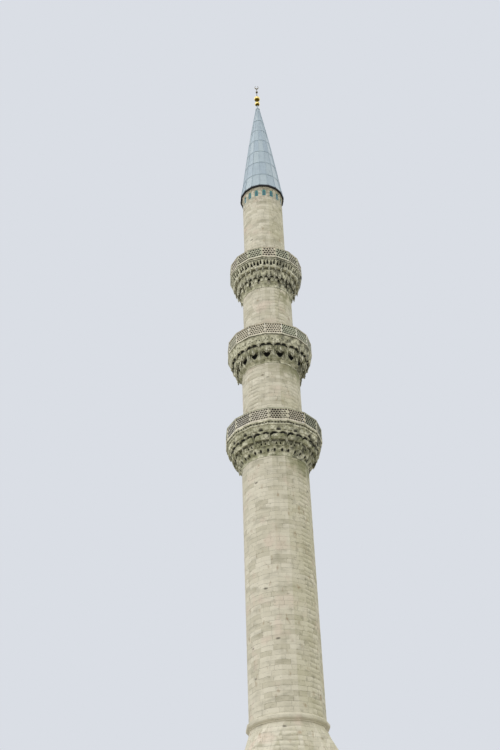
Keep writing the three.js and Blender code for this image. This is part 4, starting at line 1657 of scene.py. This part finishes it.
section = [*CONE_INSIDE, CONE_OUTLINE[0]]
levels = sorted([level for _, level in CONE_OUTLINE[1:]] + CONE_LAPS)
for level in levels:
    radius = cone_radius(level)
    if level in CONE_LAPS:
        section += [(radius - LAP_TUCK, level), (radius + LAP_STEP, level + LAP_RISE)]
    else:
        section.append((radius, level))
section.append((0, CONE_OUTLINE[-1][1]))
cone = spin_section(section, closed=False)
tone = cone.faces.layers.float.new("sheet_tone")
rng = random.Random(SHEET_SEED)
sheet_tones = {}
for face in cone.faces:
    centre = face.calc_center_median()
    side = round(math.atan2(centre.y, centre.x) / SIDE_ANGLE)
    row = sum(centre.z / MM > level for level in CONE_LAPS)
    face[tone] = sheet_tones.setdefault((side, row), rng.uniform(-1, 1))
print(f"{len(sheet_tones)} sheets of lead")

# %% [markdown]
# The columns of sheets meet in standing seams, folded over at the arrises. A seam is a small
# trapezium swept up the arris, wide and proud at the eave and fine at the tip: one loop of edges at
# each level, bridged to the next.

# %% Standing seams
SEAM_WIDTH = (26, 12)
SEAM_PROUD = (16, 8)
SEAM_ROOT = 12
SEAM_TAPER = 2.6

seam = bmesh.new()
rows = []
seam_levels = [CONE_OUTLINE[0][1]] + levels
for place, level in enumerate(seam_levels):
    share = place / (len(seam_levels) - 1)
    half, proud = (low + (high - low) * share for low, high in (SEAM_WIDTH, SEAM_PROUD))
    root, crest = cone_radius(level) - SEAM_ROOT, cone_radius(level) + proud
    corners = [(root, -half / 2), (crest, -half / SEAM_TAPER), (crest, half / SEAM_TAPER), (root, half / 2)]
    verts = [seam.verts.new(Vector((out, across, level)) * MM) for out, across in corners]
    rows.append([seam.edges.new(ends) for ends in zip(verts, verts[1:] + verts[:1])])
for lower, upper in zip(rows, rows[1:]):
    bmesh.ops.bridge_loops(seam, edges=lower + upper)
for row in (rows[0], rows[-1]):
    bmesh.ops.contextual_create(seam, geom=row)
bmesh.ops.recalc_face_normals(seam, faces=seam.faces)
repeat_around(seam, first_angle=SIDE_ANGLE / 2, into=cone)
finish_piece(cone, "lead_cone_sheets", lead, "lead", "lead_cone")

# %% [markdown]
# ## The finial
#
# Two gilded balls, a small one and a crescent stand on the tip. Each ball was beaten in two halves
# and seamed, and it sits between two short necks, so its section is an arc with a neck at each end.
# The collar under them is lead, dressed over the tip of the roof.

# %% Balls and collar
BALL_STEPS = 24
BALL_RINGS = 14
NECK = 26
COLLAR = [(78, 0), (88, 8), (95, 26), (95, 50), (80, 66), (58, 92), (42, 124), (34, 170), (28, 240)]


def ball_section(node, neck):
    """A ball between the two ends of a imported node, narrowed to a neck at both ends."""
    low, high = (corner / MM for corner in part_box(node))
    radius = (high.x - low.x) / 2
    verts = [vert.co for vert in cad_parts[node].data.vertices]
    widest = [co.z / MM for co in verts if Vector((co.x, co.y)).length > (radius - 1) * MM]
    centre = (min(widest) + max(widest)) / 2
    start = math.acos(neck / radius)
    turns = [start * (2 * step / BALL_RINGS - 1) for step in range(BALL_RINGS + 1)]
    arc = [(radius * math.cos(turn), centre + radius * math.sin(turn)) for turn in turns]
    return [(0, low.z), (neck, low.z), *arc, (neck, high.z), (0, high.z)]


for node, neck in (("finial_lower_ball", NECK), ("finial_upper_ball", NECK), ("finial_small_ball", NECK / 2)):
    bm = spin_section(ball_section(node, neck), BALL_STEPS, closed=False, smooth=True)
    finish_piece(bm, node + "_beaten", gilding, "gilding", node)

low, high = (corner.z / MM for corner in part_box("finial_collar"))
bm = spin_section([(0, low), *set_template(COLLAR, 0, low), (NECK, high), (0, high)], BALL_STEPS,
                  closed=False, smooth=True)
finish_piece(bm, "finial_collar_dressed", lead, "lead", "finial_collar")

# %% [markdown]
# The crescent is a flat plate on a short foot, so that it shows against the sky from every side but
# two. Its outer edge is an ellipse, open at the top between the tips of the horns. Its inner edge is
# a second one, set a little higher, that meets the first at the tips.

# %% Crescent
CRESCENT_STEPS = 20
CRESCENT_LEVEL = 37.906
CRESCENT_HALF_WIDTH = 82 * MM
CRESCENT_HALF_HEIGHT = 106 * MM
INNER_RISE = 26 * MM
CRESCENT_FOOT = (32 * MM, 24 * MM)
CRESCENT_FOOT_TOP = 37.81
CRESCENT_FOOT_BEVEL = 3 * MM


def elliptic_arc(half_height, level, turns):
    """Points on an ellipse as narrow as the crescent, across and up."""
    narrow = CRESCENT_HALF_WIDTH / CRESCENT_HALF_HEIGHT
    return [(narrow * half_height * math.cos(turn), level + half_height * math.sin(turn)) for turn in turns]


low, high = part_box("finial_crescent")
tip = math.asin((high.z - CRESCENT_LEVEL) / CRESCENT_HALF_HEIGHT)
tip_reach = CRESCENT_HALF_HEIGHT * math.cos(tip)
inner_level = CRESCENT_LEVEL + INNER_RISE
inner_half_height = math.hypot(tip_reach, high.z - inner_level)
inner_tip = math.atan2(high.z - inner_level, tip_reach)
outer_step = (math.pi + 2 * tip) / CRESCENT_STEPS
inner_step = (math.pi + 2 * inner_tip) / CRESCENT_STEPS
outer_turns = [math.pi - tip + step * outer_step for step in range(CRESCENT_STEPS + 1)]
inner_turns = [inner_tip - step * inner_step for step in range(1, CRESCENT_STEPS)]
outline = elliptic_arc(CRESCENT_HALF_HEIGHT, CRESCENT_LEVEL, outer_turns)
outline += elliptic_arc(inner_half_height, inner_level, inner_turns)
bm = bmesh.new()
bm.faces.new([bm.verts.new((across, low.y, up)) for across, up in outline])
thicken(bm, (0, high.y - low.y, 0))
foot_height = CRESCENT_FOOT_TOP - low.z
foot = bevelled_box((0, 0, low.z + foot_height / 2), (*CRESCENT_FOOT, foot_height), CRESCENT_FOOT_BEVEL)
repeat_around(foot, 1, into=bm)
finish_piece(bm, "finial_crescent_plate", gilding, "gilding", "finial_crescent")

# %% [markdown]
# ## The foot of the tower
#
# Below the galleries the tower stands on a square base of the same ashlar, with an entrance, a
# plinth and a simple cornice. Long triangles lead from its four sides to the sixteen of the shaft.
# The photo doesn't show this part, so it is finished plainly, with the same courses.
#
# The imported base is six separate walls. Here it is one hollow box, so that its courses run on round
# the corners: a section spun in four steps, with a doorway cut out and its reveals closed.

# %% Base walls with a doorway
BASE_SEED = 11
SQUARE = math.sqrt(2)


def cut_whole(bm, faces, point, normal):
    """Cut some faces by a plane."""
    parts = {item for face in faces for item in (face, *face.edges, *face.verts)}
    bmesh.ops.bisect_plane(bm, geom=list(parts), dist=MERGE, plane_co=point, plane_no=normal)


def front_wall(bm, inner, highest=math.inf, farthest=math.inf):
    """The faces of the front wall up to a level, and no farther than that from its middle."""
    return [face for face in bm.faces
            if all(vert.co.y < MERGE - inner and vert.co.z < highest + MERGE
                   and abs(vert.co.x) < farthest + MERGE for vert in face.verts)]


low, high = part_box("base_wall_left")
outer, inner = -low.x, -high.x
walls = [(outer * SQUARE, low.z), (outer * SQUARE, high.z), (inner * SQUARE, high.z), (inner * SQUARE, low.z)]
bm = spin_section([(radius / MM, level / MM) for radius, level in walls], steps=4)
door_low, door_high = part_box("base_wall_over_door")
cut_whole(bm, front_wall(bm, inner), (0, 0, door_low.z), (0, 0, 1))
for across in (door_low.x, door_high.x):
    cut_whole(bm, front_wall(bm, inner, door_low.z), (across, 0, 0), (1, 0, 0))
doorway = front_wall(bm, inner, door_low.z, door_high.x)
bmesh.ops.delete(bm, geom=doorway, context="FACES")
rim = dict.fromkeys(vert for edge in bm.edges if edge.is_boundary for vert in edge.verts)
left = [vert for vert in rim if vert.co.x < 0]
right = [vert for vert in rim if vert.co.x > 0]
head = [vert for vert in rim if vert.co.z > door_low.z - MERGE]
for reveal in (left, right, head):
    bmesh.ops.contextual_create(bm, geom=reveal)
bmesh.ops.recalc_face_normals(bm, faces=bm.faces)
blocks = lay_blocks(bm, lies_at(outer), BASE_SEED, even=False)
finish_piece(bm, "base_masonry", limestone, "limestone", "base_wall_left", "base_wall_right",
             "base_wall_back", "base_wall_front_left", "base_wall_front_right", "base_wall_over_door")
print(f"  {blocks} blocks in the base")

# %% [markdown]
# The long triangles are sloping faces, and the same cutting works on them: level cuts give the
# courses, and each course of each face is cut into blocks.

# %% Transition to sixteen sides
TRANSITION_SEED = 12
FLATTEST_SLOPE = 0.8


def slopes_outwards(face):
    """A test for the outer sloping faces."""
    centre = face.calc_center_median()
    outwards = face.normal.x * centre.x + face.normal.y * centre.y
    return outwards > 0 and abs(face.normal.z) < FLATTEST_SLOPE


bm = merged_copy("transition")
blocks = lay_blocks(bm, slopes_outwards, TRANSITION_SEED, even=False)
finish_piece(bm, "transition_masonry", limestone, "limestone", "transition")
print(f"  {blocks} blocks in the transition")

# %% [markdown]
# A mason takes off the sharp edges of plain stones, because they would chip. The plinth and the
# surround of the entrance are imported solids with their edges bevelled. The cornice and the ring at
# the foot of the shaft are mouldings again, and the ring's is the same upside down.

# %% Plinth, cornice, lower ring and door surround
STONE_BEVEL = 8 * MM
BASE_CORNICE_FOOT = [(0, 0), (12, 16), (12, 34), (40, 70), (76, 112), (76, 130), (90, 140)]
BASE_CORNICE_HEAD = [(90, -12), (80, 0)]
RING_FOOT = [(-90, 0), (-66, 14), (-66, 34), (-34, 52), (-4, 84), (0, 112)]
RING_HEAD = [(out, -up) for out, up in reversed(RING_FOOT)]

for node in ("plinth", "base_door_surround"):
    bm = merged_copy(node)
    bmesh.ops.bevel(bm, geom=bm.edges[:], offset=STONE_BEVEL, offset_type="OFFSET", segments=2,
                    profile=0.5, affect="EDGES", material=-1)
    bmesh.ops.recalc_face_normals(bm, faces=bm.faces)
    finish_piece(bm, node + "_dressed", limestone, "limestone", node)

bottom, top = (corner.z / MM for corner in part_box("base_cornice"))
moulding = [(inner / MM, bottom), *set_template(BASE_CORNICE_FOOT, outer / MM, bottom),
            *set_template(BASE_CORNICE_HEAD, outer / MM, top), (inner / MM, top)]
bm = spin_section([(half * SQUARE, level) for half, level in moulding], steps=4)
finish_piece(bm, "base_cornice_moulded", limestone, "limestone", "base_cornice")

inner, edge, bottom, top = ring_sizes("lower_ring")
moulding = [(inner, bottom), *set_template(RING_FOOT, edge, bottom),
            *set_template(RING_HEAD, edge, top), (inner, top)]
finish_piece(spin_section(moulding), "lower_ring_moulded", limestone, "limestone", "lower_ring")

# %% [markdown]
# ## A plain studio
#
# The light is what a pale overcast sky gives. The sky itself lights the tower from all round, a very
# broad key light is stronger on one side, and a weaker fill light keeps the other from going dark.
# The floor is pale and plain, and round, so that its far edge makes a level horizon. The Standard
# view keeps colours as they are mixed, without a film look.

# %% Floor, sky and lights
SKY = linear("#DADEE5")
SKY_STRENGTH = 1.0
FLOOR_ROUGHNESS = 0.9
FLOOR_COLOUR = linear("#A5A29A")
FLOOR_RADIUS = 600
FLOOR_CORNERS = 96
LIGHT_SIZE = math.radians(120)
LIGHTS = {
    "key_light": {"energy": 2.2, "tilt": 62, "turn": -55},
    "fill_light": {"energy": 1.12, "tilt": 66, "turn": 95},
}

bm = bmesh.new()
bmesh.ops.create_circle(bm, cap_ends=True, segments=FLOOR_CORNERS, radius=FLOOR_RADIUS)
floor_mesh = bpy.data.meshes.new("studio_floor")
bm.to_mesh(floor_mesh)
bm.free()
floor_material, _, floor_shader = blank_material("plain_pale_floor", FLOOR_ROUGHNESS)
floor_shader.inputs["Base Color"].default_value = FLOOR_COLOUR
floor_mesh.materials.append(floor_material)
floor = bpy.data.objects.new("studio_floor", floor_mesh)
scene.collection.objects.link(floor)
floor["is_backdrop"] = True

world = bpy.data.worlds.new("pale_sky")
scene.world = world
world.use_nodes = True
background = world.node_tree.nodes["Background"]
background.inputs["Color"].default_value = SKY
background.inputs["Strength"].default_value = SKY_STRENGTH

for name, design in LIGHTS.items():
    light_data = bpy.data.lights.new(name, "SUN")
    light_data.energy = design["energy"]
    light_data.angle = LIGHT_SIZE
    light = bpy.data.objects.new(name, light_data)
    light.rotation_euler = (math.radians(design["tilt"]), 0, math.radians(design["turn"]))
    scene.collection.objects.link(light)
scene.view_settings.view_transform = "Standard"
print(f"{len(LIGHTS)} lights and a sky")

# %% [markdown]
# ## The sizes, and the count of triangles
#
# The box of the dressed tower and the box of the imported one are set side by side. The
# dressed tower has to keep the size of the imported one.

# %% Sizes and the last call
low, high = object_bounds()
{"cad": [list(cad_low), list(cad_high)], "visual": [list(low), list(high)]}
print(f"{sum(triangle_count.values()):,} triangles in all")
